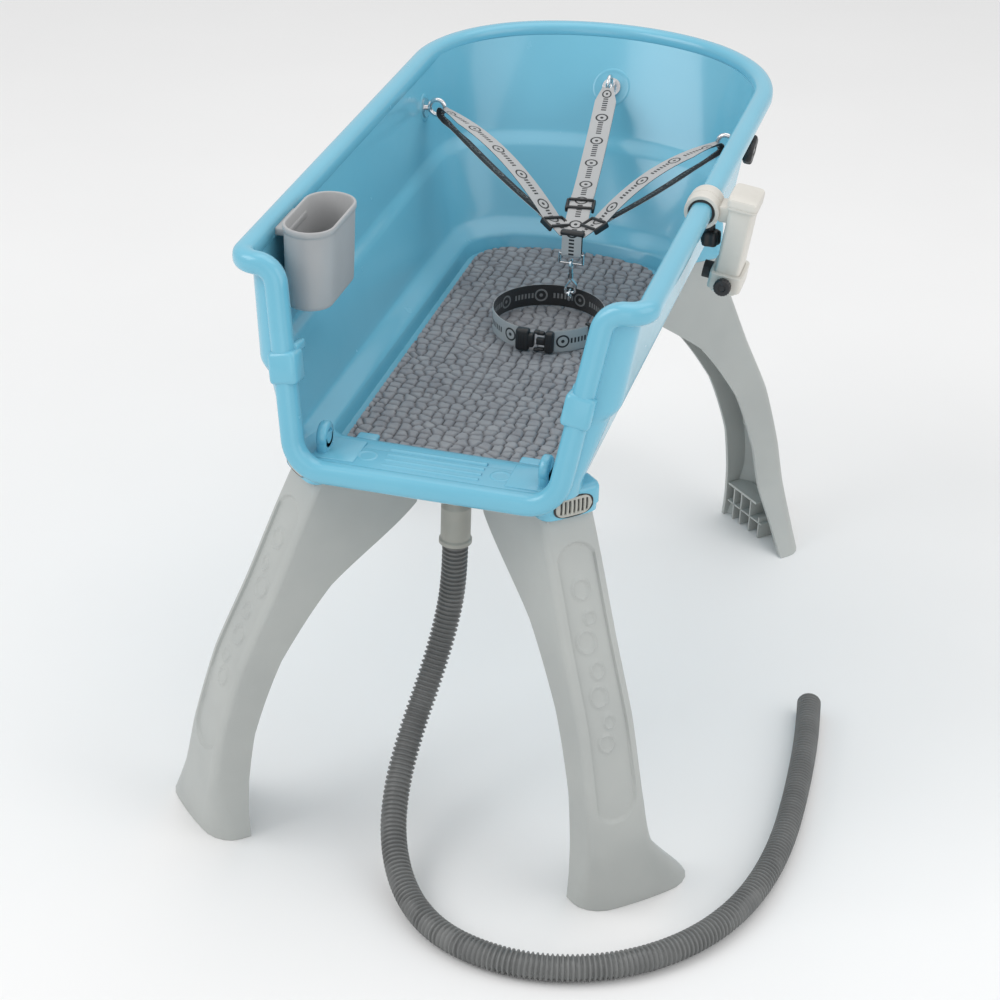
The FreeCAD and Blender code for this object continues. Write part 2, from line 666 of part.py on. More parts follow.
def make_button(side, end):
    inner = size("socket_out") - size("socket_wall") + 0.3
    outer = size("socket_out") + size("button_proud")
    body = diag_slot(inner, outer, button_q(), size("button_level"), size("button_length"),
                     size("button_height"), side, end)
    pitch = size("button_slot_width") * 2
    depth = size("button_slot_depth")
    for i in range(7):
        offset = (i - 3) * pitch
        half = size("button_slot_width") / 2
        reach = size("button_height") * (0.36 - 0.035 * abs(i - 3))
        groove = diag_box(outer - depth, outer + 5, button_q() + offset - half, button_q() + offset + half,
                          size("button_level") - reach, size("button_level") + reach, side, end)
        body = body.cut(groove)
    return body


for name, (side, end) in CORNERS.items():
    shape_node("leg_" + name, make_leg(side, end))
for name, (side, end) in CORNERS.items():
    shape_node("leg_button_" + name, make_button(side, end))

# ---- harness anchors -------------------------------------------------------------------
for name, (point, way) in anchor_frames().items():
    rotation = FreeCAD.Rotation(V(0, 0, 1), way)
    stem = doc.addObject("Part::Cylinder", "eye_stem_" + name)
    bind(stem, Radius="Sizes.stem_radius", Height="Sizes.wall_thick+Sizes.star_thick+Sizes.washer_thick+6")
    bind(stem, **{"Placement.Base.z": "0-(Sizes.wall_thick+Sizes.star_thick)"})
    ring = doc.addObject("Part::Torus", "eye_ring_" + name)
    bind(ring, Radius1="Sizes.eye_radius", Radius2="Sizes.eye_wire")
    ring.Placement.Rotation = FreeCAD.Rotation(V(0, 1, 0) if name == "back" else V(1, 0, 0), 90)
    bind(ring, **{"Placement.Base.z": "Sizes.washer_thick+Sizes.eye_radius+Sizes.eye_wire+2"})
    bolt = doc.addObject("Part::MultiFuse", "eye_bolt_" + name)
    bolt.Shapes = [stem, ring]
    place(bolt, point.x, point.y, point.z, rotation)
    keep(bolt, "eye_bolt_" + name)
    washer = turned("eye_washer_" + name, [
        ("Sizes.stem_radius+Sizes.fit_clearance", "0"), ("Sizes.washer_radius", "0"),
        ("Sizes.washer_radius", "Sizes.washer_thick"),
        ("Sizes.stem_radius+Sizes.fit_clearance", "Sizes.washer_thick")])
    seat = point + way * size("running_gap")
    place(washer, seat.x, seat.y, seat.z, rotation)
    star = new_body("star_knob_" + name)
    disc = sketch_on(star, "XY_Plane", "star_disc_" + name)
    circle(disc, "0", "0", "Sizes.star_radius-Sizes.star_lobe")
    circle(disc, "0", "0", "Sizes.stem_radius+0.05")
    pad(star, disc, "Sizes.star_thick")
    lobe_sketch = sketch_on(star, "XY_Plane", "star_lobe_" + name)
    circle(lobe_sketch, "Sizes.star_radius-Sizes.star_lobe", "0", "Sizes.star_lobe")
    lobe = pad(star, lobe_sketch, "Sizes.star_thick", "Lobe")
    polar(star, lobe, 6)
    slant_wall = size("wall_thick") * (math.hypot(way.x, way.y) + abs(way.z))
    knob_at = point - way * (slant_wall + size("running_gap") + size("star_thick"))
    place(star, knob_at.x, knob_at.y, knob_at.z, rotation)

# ---- harness webbing --------------------------------------------------------------------
JOINT = V(size("joint_x"), size("joint_y"), size("joint_level"))


def band(start, end, across, sag, width, thick):
    """A flat strap from start to end: an arc bowed by sag, extruded across."""
    along = end - start
    across = across - along * (across.dot(along) / along.dot(along))
    across.normalize()
    up = across.cross(along)
    up.normalize()
    if up.z < 0:
        up = up * -1
    middle = (start + end) * 0.5 + up * sag
    corners = [start, middle, end, end + up * thick, middle + up * thick, start + up * thick]
    if sag:
        edges = [Part.Arc(corners[0], corners[1], corners[2]), Part.LineSegment(corners[2], corners[3]),
                 Part.Arc(corners[3], corners[4], corners[5]), Part.LineSegment(corners[5], corners[0])]
        face = Part.Face(Part.Wire([edge.toShape() for edge in edges]))
    else:
        face = Part.Face(Part.makePolygon([corners[0], corners[2], corners[3], corners[5], corners[0]]))
    solid = face.extrude(across * width)
    solid.translate(across * (-width / 2))
    return solid


def eye_centre(name):
    point, way = anchor_frames()[name]
    reach = size("washer_thick") + size("eye_radius") + size("eye_wire") + 2
    return point + way * reach


def strap_ends(name, clear):
    """Where a strap starts inside its eye and ends short of the tab between the straps."""
    eye = eye_centre(name)
    way = JOINT - eye
    way.normalize()
    return eye + way * (size("eye_radius") + size("eye_wire") + 0.6), JOINT - way * clear


# How far short of the joint each strap ends, and where its adjuster starts and ends.
SIDE_ACROSS = V(-0.2, 0.9, -0.35)
STRAPS = {
    "left": (SIDE_ACROSS, 42, 40, 22),
    "right": (SIDE_ACROSS, 42, 40, 22),
    "back": (V(1, 0, 0), 76, 74, 56),
}
SIDE_BOWS = {"left": 16, "right": 14}
LOWER_SAG, BACK_SAG = -5, -7
ADJUSTER_OVER, ADJUSTER_THICK = 8, 4.5
for name, (across, strap_end, near, far) in STRAPS.items():
    start, end = strap_ends(name, strap_end)
    width, thick = size("web_width"), size("web_thick")
    if name in SIDE_BOWS:
        strap = band(start, end, across, LOWER_SAG, width, thick)
        strap = strap.fuse(band(start, end, across, SIDE_BOWS[name], width, thick)).removeSplitter()
    else:
        strap = band(start, end, across, BACK_SAG, width, 2 * thick)
    shape_node("strap_" + name, strap)
    _, near_point = strap_ends(name, near)
    _, far_point = strap_ends(name, far)
    shape_node("slide_adjuster_" + name,
               band(near_point, far_point, across, 0, width + ADJUSTER_OVER, ADJUSTER_THICK))

tab = doc.addObject("Part::Box", "centre_tab")
bind(tab, Length="24", Width="9", Height="Sizes.tab_height")
place(tab, JOINT.x - 12, JOINT.y - 4.5, JOINT.z - size("tab_height") / 2)
keep(tab, "centre_tab")

ring_z = size("joint_level") - size("tab_height") / 2 - 1
ring_points = [V(-13, 0, 0), V(13, 0, 0), V(13, 0, -11), V(-13, 0, -11)]
loop = None
for a, b in zip(ring_points, ring_points[1:] + ring_points[:1]):
    bar = Part.makeCylinder(size("ring_wire"), (b - a).Length, a, b - a)
    ball = Part.makeSphere(size("ring_wire"), a)
    loop = bar.fuse(ball) if loop is None else loop.fuse(bar).fuse(ball)
shape_node("centre_ring", loop, JOINT.x, JOINT.y, ring_z - size("ring_wire"))

# Swivel snap hook: an eye that hangs in the ring, and below it the hook that turns.
hook_top = ring_z - 11
swivel = doc.addObject("Part::MultiFuse", "hook_swivel")
swivel_eye = doc.addObject("Part::Torus", "swivel_eye")
bind(swivel_eye, Radius1="5", Radius2="1.5")
swivel_eye.Placement = FreeCAD.Placement(V(0, 0, -3.2), FreeCAD.Rotation(V(0, 1, 0), 90))
swivel_post = doc.addObject("Part::Cylinder", "swivel_post")
bind(swivel_post, Radius="2.6", Height="6")
swivel_post.Placement.Base = V(0, 0, -13.5)
swivel.Shapes = [swivel_eye, swivel_post]
place(swivel, JOINT.x, JOINT.y, hook_top)
keep(swivel, "hook_swivel")

hook_z = hook_top - 13.5 - size("running_gap")
hook_path = [V(0, 0, 0), V(0, 0, -6), V(6, 0, -12), V(6, 0, -22), V(-5, 0, -25), V(-5, 0, -20)]
hook_shape, _ = tube_round(hook_path, 1.8, [4, 3, 4, 2])
hook_shape = hook_shape.fuse(Part.makeCylinder(3.4, 5, V(0, 0, -5)))
shape_node("hook_body", hook_shape, JOINT.x, JOINT.y, hook_z)
gate_shape = Part.makeCylinder(1.2, 9.6, V(-5, 0, -17.8), V(5, 0, 8.4))
gate_shape = gate_shape.common(Part.makeBox(7.2, 8, 11, V(-7, -4, -19)))
gate_shape = gate_shape.fuse(Part.makeCylinder(1.4, 4.4, V(-5, -2.2, -18), V(0, 1, 0)))
shape_node("hook_gate", gate_shape, JOINT.x, JOINT.y, hook_z)

# ---- collar -----------------------------------------------------------------------------
collar_z = size("floor_level") + size("mat_thick") + size("collar_gap")
collar_out = Part.makeCylinder(size("collar_radius"), size("web_width"))
collar_in = Part.makeCylinder(size("collar_radius") - size("web_thick"), size("web_width"))
buckle_room = Part.makeBox(size("buckle_length"), 30, 60,
                           V(-size("buckle_length") / 2, -size("collar_radius") - 12, -10))
strap_shape = collar_out.cut(collar_in).cut(buckle_room)
shape_node("collar_strap", strap_shape, size("collar_x"), size("collar_y"), collar_z)
buckle_y = size("collar_y") - size("collar_radius") + size("web_thick") / 2
half_buckle = size("buckle_length") / 2
for name, side in (("buckle_socket", -1), ("buckle_plug", 1)):
    block = doc.addObject("Part::Box", name)
    bind(block, Length="Sizes.buckle_length/2-0.1", Width="Sizes.buckle_thick", Height="Sizes.web_width")
    x = size("collar_x") + (0.1 if side > 0 else -half_buckle)
    place(block, x, buckle_y - size("buckle_thick") / 2, collar_z)
    keep(block, name)
ring = doc.addObject("Part::Torus", "collar_ring")
bind(ring, Radius1="5.8", Radius2="1.3")
place(ring, JOINT.x, JOINT.y, hook_z - 26, FreeCAD.Rotation(V(0, 1, 0), 90))
keep(ring, "collar_ring")

# ---- caddy --------------------------------------------------------------------------------
caddy = new_body("caddy")
cup = sketch_on(caddy, "XY_Plane", "cup_outline")
slot(cup, "Sizes.caddy_length/2-Sizes.caddy_width/2", "Sizes.caddy_width/2")
pad(caddy, cup, "Sizes.caddy_height")
room = sketch_on(caddy, "XY_Plane", "cup_room")
slot(room, "Sizes.caddy_length/2-Sizes.caddy_width/2", "Sizes.caddy_width/2-Sizes.caddy_wall")
room.setExpression("AttachmentOffset.Base.z", "Sizes.caddy_wall")
pocket(caddy, room, "Sizes.caddy_height")
drip = sketch_on(caddy, "XY_Plane", "cup_drain")
circle(drip, "Sizes.caddy_length/4", "0", "3")
pocket(caddy, drip, "Sizes.caddy_wall*3", "Drip", symmetric=True)
caddy_x = size("caddy_in") - size("shelf_half_width")
place(caddy, caddy_x, size("caddy_y"), size("caddy_level"), FreeCAD.Rotation(V(0, 0, 1), 90))

# ---- rim clamp and drop tube --------------------------------------------------------------
rim_x, rim_z = size("rim_half_width"), size("rim_level")
clamp_y = size("clamp_y")
half_clamp = size("clamp_length") / 2
inner_r = size("rim_roll_radius") + size("running_gap")
liner_r = inner_r + size("liner_thick")
clamp_r = liner_r + size("clamp_thick")


# How far the tub's wall leans in below the rim, beyond the lean that the mouth allows for.
wall_slope = (rim_x - size("shelf_step") - size("shelf_half_width")) / (rim_z - size("shelf_level"))
more_lean = max(0, wall_slope - 0.15)


def c_ring(inner, outer, gap_half):
    """A ring along Y, open towards the tub's wall below."""
    long = size("clamp_length")
    ring = Part.makeCylinder(outer, long).cut(Part.makeCylinder(inner, long))
    ring.rotate(V(0, 0, 0), V(1, 0, 0), -90)
    reach = more_lean * outer
    mouth = Part.makeBox(2 * gap_half + reach, long + 2, outer + 5,
                         V(-gap_half - 4 - reach, -1, -outer - 5))
    return ring.cut(mouth)


shape_node("clamp_liner", c_ring(inner_r, liner_r, 9), rim_x, clamp_y - half_clamp, rim_z)
shape_node("clamp_ring", c_ring(liner_r, clamp_r, 9), rim_x, clamp_y - half_clamp, rim_z)

lean = math.radians(size("tube_lean"))
tube_way = V(math.sin(lean), 0, math.cos(lean))
tube_rotation = FreeCAD.Rotation(V(0, 0, 1), tube_way)
tube_top = V(rim_x + size("tube_out"), clamp_y, rim_z + 8)
tube_base = tube_top - tube_way * size("tube_length")

tube = new_body("drop_tube")
tube_sketch = sketch_on(tube, "XY_Plane", "tube_outline")


def centred(sketch, long_x, long_y):
    outline(sketch, [("0-%s/2" % long_x, "0-%s/2" % long_y), ("%s/2" % long_x, "0-%s/2" % long_y),
                     ("%s/2" % long_x, "%s/2" % long_y), ("0-%s/2" % long_x, "%s/2" % long_y)])


centred(tube_sketch, "Sizes.tube_width", "Sizes.tube_depth")
pad(tube, tube_sketch, "Sizes.tube_length")
tube_room = sketch_on(tube, "XY_Plane", "tube_room")
outline(tube_room, [("Sizes.tube_wall-Sizes.tube_width/2", "Sizes.tube_wall-Sizes.tube_depth/2"),
                    ("Sizes.tube_width/2-Sizes.tube_wall", "Sizes.tube_wall-Sizes.tube_depth/2"),
                    ("Sizes.tube_width/2-Sizes.tube_wall", "Sizes.tube_depth/2-Sizes.tube_wall"),
                    ("Sizes.tube_wall-Sizes.tube_width/2", "Sizes.tube_depth/2-Sizes.tube_wall")])
pocket(tube, tube_room, "Sizes.tube_length*3", symmetric=True)
place(tube, tube_base.x, tube_base.y, tube_base.z, tube_rotation)

cap = new_body("tube_cap")
cap_sketch = sketch_on(cap, "XY_Plane", "cap_outline")
outline(cap_sketch, [("0-Sizes.tube_width/2-Sizes.cap_over", "0-Sizes.tube_depth/2-Sizes.cap_over"),
                     ("Sizes.tube_width/2+Sizes.cap_over", "0-Sizes.tube_depth/2-Sizes.cap_over"),
                     ("Sizes.tube_width/2+Sizes.cap_over", "Sizes.tube_depth/2+Sizes.cap_over"),
                     ("0-Sizes.tube_width/2-Sizes.cap_over", "Sizes.tube_depth/2+Sizes.cap_over")])
pad(cap, cap_sketch, "Sizes.cap_height")
place(cap, tube_top.x, tube_top.y, tube_top.z, tube_rotation)

# The neck joins the ring to the tube.
neck_in = rim_x + clamp_r - 1.5
neck = Part.makeBox(tube_top.x - neck_in, size("clamp_length") - 6, 18,
                    V(neck_in, clamp_y - half_clamp + 3, rim_z - 10))
neck = neck.cut(Part.makeCylinder(clamp_r, size("clamp_length") + 20,
                                  V(rim_x, clamp_y - half_clamp - 10, rim_z), V(0, 1, 0)))
tube_block = Part.makeBox(size("tube_width"), size("tube_depth"), size("tube_length") + 60,
                          V(-size("tube_width") / 2, -size("tube_depth") / 2, 0))
tube_block.Placement = FreeCAD.Placement(tube_base, tube_rotation)
neck = neck.cut(tube_block)
cap_over = size("cap_over")
cap_block = Part.makeBox(size("tube_width") + 2 * cap_over, size("tube_depth") + 2 * cap_over, 60,
                         V(-size("tube_width") / 2 - cap_over, -size("tube_depth") / 2 - cap_over,
                           size("tube_length")))
cap_block.Placement = FreeCAD.Placement(tube_base, tube_rotation)
neck = neck.cut(cap_block)
shape_node("clamp_neck", neck)

knob = new_body("clamp_knob")
knob_disc = sketch_on(knob, "XY_Plane", "clamp_knob_disc")
circle(knob_disc, "0", "0", "Sizes.clamp_knob_radius-2")
pad(knob, knob_disc, "Sizes.clamp_knob_length")
knob_lobe = sketch_on(knob, "XY_Plane", "clamp_knob_lobe")
circle(knob_lobe, "Sizes.clamp_knob_radius-3", "0", "3")
lobe = pad(knob, knob_lobe, "Sizes.clamp_knob_length", "Lobe")
polar(knob, lobe, 5)
screw_sketch = sketch_on(knob, "XY_Plane", "clamp_screw")
circle(screw_sketch, "0", "0", "Sizes.clamp_screw_radius")
pad(knob, screw_sketch, "Sizes.clamp_knob_length+6", "Screw")
knob_z = rim_z - clamp_r - size("running_gap") - size("clamp_knob_length") - 6
place(knob, rim_x + 8.5, clamp_y, knob_z)

slider = new_body("tube_slider")
slider_sketch = sketch_on(slider, "XY_Plane", "slider_outline")
room_x, room_y = "Sizes.tube_width/2+Sizes.slider_gap", "Sizes.tube_depth/2+Sizes.slider_gap"
room_x_back, room_y_back = ("0-" + expression.replace("+", "-") for expression in (room_x, room_y))
plus_wall, less_wall = "+Sizes.slider_wall", "-Sizes.slider_wall"
outline(slider_sketch, [(room_x_back + less_wall, room_y_back + less_wall),
                        (room_x + plus_wall, room_y_back + less_wall),
                        (room_x + plus_wall, room_y + plus_wall),
                        (room_x_back + less_wall, room_y + plus_wall)])
pad(slider, slider_sketch, "Sizes.slider_height")
slider_room = sketch_on(slider, "XY_Plane", "slider_room")
outline(slider_room, [(room_x_back, room_y_back), (room_x, room_y_back),
                      (room_x, room_y), (room_x_back, room_y)])
pocket(slider, slider_room, "Sizes.slider_height*3", symmetric=True)
slider_at = tube_base + tube_way * 4
place(slider, slider_at.x, slider_at.y, slider_at.z, tube_rotation)

# Thumb screw on the slider's front face, and the pad that rests against the tub's wall.
thumb = turned("thumb_screw", [("0", "0"), ("Sizes.thumb_radius/3", "0"), ("Sizes.thumb_radius/3", "4"),
                               ("Sizes.thumb_radius", "4"), ("Sizes.thumb_radius", "Sizes.thumb_length"),
                               ("0", "Sizes.thumb_length")])
slider_mid = slider_at + tube_way * (size("slider_height") / 2)
front_reach = size("tube_depth") / 2 + size("slider_gap") + size("slider_wall") + size("running_gap")
place(thumb, slider_mid.x, slider_mid.y - front_reach, slider_mid.z, FreeCAD.Rotation(V(1, 0, 0), 90))

inward = V(-math.cos(lean), 0, math.sin(lean))
pad_from = slider_mid + inward * (size("tube_width") / 2 + size("slider_gap") + size("slider_wall"))
foot_pad = doc.addObject("Part::Cylinder", "foot_pad")
bind(foot_pad, Radius="Sizes.pad_radius", Height="Sizes.pad_length")
place(foot_pad, pad_from.x, pad_from.y, pad_from.z, FreeCAD.Rotation(V(0, 0, 1), inward))
keep(foot_pad, "foot_pad")

# ---- check and write ----------------------------------------------------------------------
doc.recompute()
for item in doc.Objects:
    if any(word in item.State for word in ("Invalid", "Error")):
        raise RuntimeError(item.Label + " did not compute")
for piece in nodes:
    if piece.Shape.isNull() or not piece.Shape.isValid():
        raise RuntimeError(piece.Label + " has no valid shape")
    solids = len(piece.Shape.Solids)
    box = piece.Shape.BoundBox
    print("%-26s solids %d volume %9.0f  x %6.1f..%6.1f y %6.1f..%6.1f z %6.1f..%6.1f" % (
        piece.Label, solids, piece.Shape.Volume,
        box.XMin, box.XMax, box.YMin, box.YMax, box.ZMin, box.ZMax))
for piece in nodes:
    piece.Shape.exportStep("parts/%s.step" % piece.Label)
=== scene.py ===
# %% [markdown]
# # A raised pet bath
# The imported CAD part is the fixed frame: it says where everything is and how it moves.
# Blender adds what the eye sees around it: soft moulded shapes, webbing and finishes.

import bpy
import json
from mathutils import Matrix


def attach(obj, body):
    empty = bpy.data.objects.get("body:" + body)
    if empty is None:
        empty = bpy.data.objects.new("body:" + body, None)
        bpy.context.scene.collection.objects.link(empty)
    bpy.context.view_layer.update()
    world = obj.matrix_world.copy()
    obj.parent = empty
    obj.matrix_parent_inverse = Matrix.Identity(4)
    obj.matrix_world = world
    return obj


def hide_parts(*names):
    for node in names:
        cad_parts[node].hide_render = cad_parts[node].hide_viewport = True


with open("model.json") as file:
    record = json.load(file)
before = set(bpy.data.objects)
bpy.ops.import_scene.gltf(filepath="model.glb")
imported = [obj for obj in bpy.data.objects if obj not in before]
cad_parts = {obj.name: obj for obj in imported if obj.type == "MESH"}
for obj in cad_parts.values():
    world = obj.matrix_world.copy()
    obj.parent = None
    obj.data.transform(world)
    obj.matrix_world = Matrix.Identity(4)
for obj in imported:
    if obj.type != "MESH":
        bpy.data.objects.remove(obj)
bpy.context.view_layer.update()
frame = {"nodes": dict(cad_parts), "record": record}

import json
import math

import bmesh
import bpy
import numpy as np
from mathutils import Matrix, Vector

scene = bpy.context.scene

# %% [markdown]
# ## Drawing units
# The bath was drawn in millimetres with y counted from the front of the tub. Keeping those
# numbers makes the script easy to compare with the drawing, so one helper turns them into
# metres about the middle of the part.

# %% Units
ORIGIN_Y = 382.331
X_WAY, Y_WAY, Z_WAY = np.eye(3)


def metres(points):
    """Points of the drawing, in metres about the middle of the part."""
    return (np.asarray(points, float) - [0, ORIGIN_Y, 0]) / 1000


def unit(vectors):
    """A vector, or each row of a table of vectors, at length one."""
    vectors = np.asarray(vectors, float)
    return vectors / np.maximum(np.linalg.norm(vectors, axis=-1, keepdims=True), 1e-9)


# %% [markdown]
# ## Camera and light
# The camera stands where a person would stand to look down into the bath from its right
# front. It is turned by a matrix, because the view is rolled by two degrees as well.
# A large soft light from the left and a wide one above give long highlights on gloss plastic.

# %% Camera
AZIMUTH, ELEVATION, ROLL = 0.249157, 0.504568, 0.0340552
forward = np.array([-math.sin(AZIMUTH) * math.cos(ELEVATION),
                    math.cos(AZIMUTH) * math.cos(ELEVATION), -math.sin(ELEVATION)])
level_right = np.array([math.cos(AZIMUTH), math.sin(AZIMUTH), 0])
level_up = np.cross(level_right, forward)
right = level_right * math.cos(ROLL) + level_up * math.sin(ROLL)
up = level_up * math.cos(ROLL) - level_right * math.sin(ROLL)
camera_data = bpy.data.cameras.new("view")
camera_data.sensor_width, camera_data.lens = 36, 90.25
camera = bpy.data.objects.new("view", camera_data)
scene.collection.objects.link(camera)
place = Matrix([[*column, 0] for column in (right, up, -forward)] + [[0, 0, 0, 1]]).transposed()
place.translation = Vector((0.59314, -2.41772, 1.58185))
camera.matrix_world = place
scene.camera = camera


# %% Floor and lights
def flat_floor(half):
    """A white floor that is only in the picture, not in the part."""
    mesh = bpy.data.meshes.new("floor")
    corners = [(-half, -half, 0), (half, -half, 0), (half, half, 0), (-half, half, 0)]
    mesh.from_pydata(corners, [], [(0, 1, 2, 3)])
    floor = bpy.data.objects.new("floor", mesh)
    scene.collection.objects.link(floor)
    return floor


def soft_light(name, at, towards, size, power):
    """A square lamp that looks at a point."""
    data = bpy.data.lights.new(name, "AREA")
    data.shape, data.size, data.energy = "SQUARE", size, power
    lamp = bpy.data.objects.new(name, data)
    lamp.location = at
    lamp.rotation_euler = (Vector(towards) - Vector(at)).to_track_quat("-Z", "Y").to_euler()
    scene.collection.objects.link(lamp)


floor = flat_floor(12)
MIDDLE = (0, 0, 0.45)
soft_light("key", (-2.2, -1.6, 2.8), MIDDLE, 2.2, 40)
soft_light("side", (2.6, -0.6, 1.9), MIDDLE, 2.4, 20)
soft_light("top", (0.3, 0.9, 3.2), MIDDLE, 2.6, 20)
soft_light("low", (0.4, -3.4, 0.9), MIDDLE, 2.0, 8)
world = bpy.data.worlds.new("studio")
world.use_nodes = True
world.node_tree.nodes["Background"].inputs["Color"].default_value = (1, 1, 1, 1)
world.node_tree.nodes["Background"].inputs["Strength"].default_value = 0.7
scene.world = world
scene.view_settings.view_transform = "Standard"
print("camera at", [round(v, 3) for v in camera.location])

# %% [markdown]
# ## Finishes
# Moulded plastic is never one flat colour: pigment drifts slowly, the skin has a fine
# orange-peel, and handling makes the gloss uneven. Each finish is therefore one noise for
# the colour, one for the gloss and one for the bump, all read from object coordinates, so
# the same finish can be shared by pieces of any shape.


# %% Plastic, rubber and metal
def tree_of(material):
    """The nodes, the links and the surface shader of a material."""
    material.use_nodes = True
    nodes = material.node_tree.nodes
    return nodes, material.node_tree.links, nodes["Principled BSDF"]


def noise(nodes, links, vector, scale, detail=3.0):
    """A soft random value at every point."""
    texture = nodes.new("ShaderNodeTexNoise")
    texture.inputs["Scale"].default_value = scale
    texture.inputs["Detail"].default_value = detail
    links.new(vector, texture.inputs["Vector"])
    return texture.outputs["Fac"]


def ramp(nodes, links, value, stops):
    """Turns a value into a colour."""
    made = nodes.new("ShaderNodeValToRGB")
    while len(made.color_ramp.elements) < len(stops):
        made.color_ramp.elements.new(0.5)
    for element, (place_, colour) in zip(made.color_ramp.elements, stops):
        element.position, element.color = place_, (*colour, 1)
    links.new(value, made.inputs["Fac"])
    return made.outputs["Color"]


def spread(nodes, links, value, low, high):
    """Carries a value from 0 to 1 onto a range."""
    made = nodes.new("ShaderNodeMapRange")
    made.inputs["To Min"].default_value, made.inputs["To Max"].default_value = low, high
    links.new(value, made.inputs["Value"])
    return made.outputs["Result"]


def bump(nodes, links, shader, height, strength, distance):
    """Raises the surface in the light only."""
    made = nodes.new("ShaderNodeBump")
    made.inputs["Strength"].default_value, made.inputs["Distance"].default_value = strength, distance
    links.new(height, made.inputs["Height"])
    links.new(made.outputs["Normal"], shader.inputs["Normal"])


def moulded(name, dark, light, rough, patch=14, grain=900, relief=0.15, metal=0.0, coat=0.0,
            grain_size=0.0002):
    """A finish whose colour drifts from dark to light and whose gloss varies over rough."""
    material = bpy.data.materials.new(name)
    nodes, links, shader = tree_of(material)
    vector = nodes.new("ShaderNodeTexCoord").outputs["Object"]
    cloud = noise(nodes, links, vector, patch)
    links.new(ramp(nodes, links, cloud, [(0.3, dark), (0.7, light)]), shader.inputs["Base Color"])
    gloss = spread(nodes, links, noise(nodes, links, vector, patch * 5), *rough)
    links.new(gloss, shader.inputs["Roughness"])
    bump(nodes, links, shader, noise(nodes, links, vector, grain, 2.0), relief, grain_size)
    shader.inputs["Metallic"].default_value = metal
    shader.inputs["Coat Weight"].default_value = coat
    shader.inputs["Coat Roughness"].default_value = 0.12
    return material


FINISHES = {
    "tub_plastic": moulded("tub_blue", (0.150, 0.465, 0.620), (0.165, 0.490, 0.645),
                           (0.20, 0.30), 9, 260, 0.10, coat=0.35),
    "leg_plastic": moulded("leg_grey", (0.41, 0.43, 0.42), (0.45, 0.47, 0.455),
                           (0.38, 0.50), 12, 1400, 0.25),
    "caddy_plastic": moulded("caddy_grey", (0.40, 0.405, 0.41), (0.44, 0.445, 0.45),
                             (0.34, 0.44), 20, 1500, 0.2),
    "drain_plastic": moulded("drain_grey", (0.36, 0.365, 0.33), (0.42, 0.42, 0.38),
                             (0.42, 0.55), 30, 1500, 0.2),
    "button_plastic": moulded("button_grey", (0.40, 0.405, 0.37), (0.45, 0.45, 0.41),
                              (0.38, 0.48), 40, 1500, 0.2),
    "clamp_plastic": moulded("clamp_white", (0.62, 0.60, 0.55), (0.70, 0.68, 0.63),
                             (0.34, 0.46), 25, 1200, 0.2),
    "hose_plastic": moulded("hose_grey", (0.135, 0.140, 0.140), (0.185, 0.190, 0.188),
                            (0.36, 0.50), 25, 1500, 0.2),
    "black_plastic": moulded("knob_black", (0.012, 0.012, 0.013), (0.024, 0.024, 0.026),
                             (0.32, 0.46), 40, 1800, 0.3),
    "black_rubber": moulded("rubber_black", (0.02, 0.02, 0.02), (0.035, 0.035, 0.036),
                            (0.6, 0.75), 60, 1600, 0.4),
    "metal": moulded("bright_steel", (0.66, 0.67, 0.69), (0.78, 0.79, 0.80),
                     (0.10, 0.22), 60, 700, 0.12, metal=1.0),
}
floor_finish = moulded("floor_white", (0.87, 0.87, 0.87), (0.89, 0.89, 0.89), (0.7, 0.8), 2, 200, 0.02)
floor.data.materials.append(floor_finish)
for row in frame["record"]["subparts"]:
    finish = FINISHES.get(row["material_slot"])
    if finish:
        slots = frame["nodes"][row["node"]].data.materials
        slots.clear()
        slots.append(finish)
print(len(FINISHES), "finishes")

# %% [markdown]
# ## Shape helpers
# Most pieces here are either a section carried along a path, a profile turned about an
# axis, or a block with rounded edges. Three small helpers return points and faces, and one
# more makes the Blender object and tells the frame which body it rides on.


# %% Points and faces
def grid_faces(rows, columns, close_rows=False, close_columns=False):
    """The four-sided faces of a grid of points, closed round or left open."""
    faces = []
    for i in range(rows if close_rows else rows - 1):
        for j in range(columns if close_columns else columns - 1):
            a, b = i * columns, ((i + 1) % rows) * columns
            k = (j + 1) % columns
            faces.append([a + j, a + k, b + k, b + j])
    return faces


def skin_faces(rows, count):
    """The faces of a closed skin: rings of count points, with a flat face at both ends."""
    caps = [list(range(count)), [(rows - 1) * count + i for i in range(count)]]
    return grid_faces(rows, count, False, True) + caps


def grid_border(rows, columns):
    """The outer points of a grid, in order round it."""
    right = [i * columns + columns - 1 for i in range(1, rows)]
    far = [(rows - 1) * columns + j for j in range(columns - 2, -1, -1)]
    return list(range(columns)) + right + far + [i * columns for i in range(rows - 2, 0, -1)]


def join(*parts):
    """Several lots of points and faces as one."""
    points, faces, count = [], [], 0
    for part_points, part_faces in parts:
        points.append(np.asarray(part_points, float).reshape(-1, 3))
        faces += [[i + count for i in face] for face in part_faces]
        count += len(points[-1])
    return np.vstack(points), faces


def rounded_outline(a, b, power, count):
    """An oval that gets squarer as power grows."""
    t = np.linspace(0, 2 * math.pi, count, endpoint=False)
    c, s = np.cos(t), np.sin(t)
    return np.stack([a * np.sign(c) * abs(c) ** (2 / power), b * np.sign(s) * abs(s) ** (2 / power)], 1)


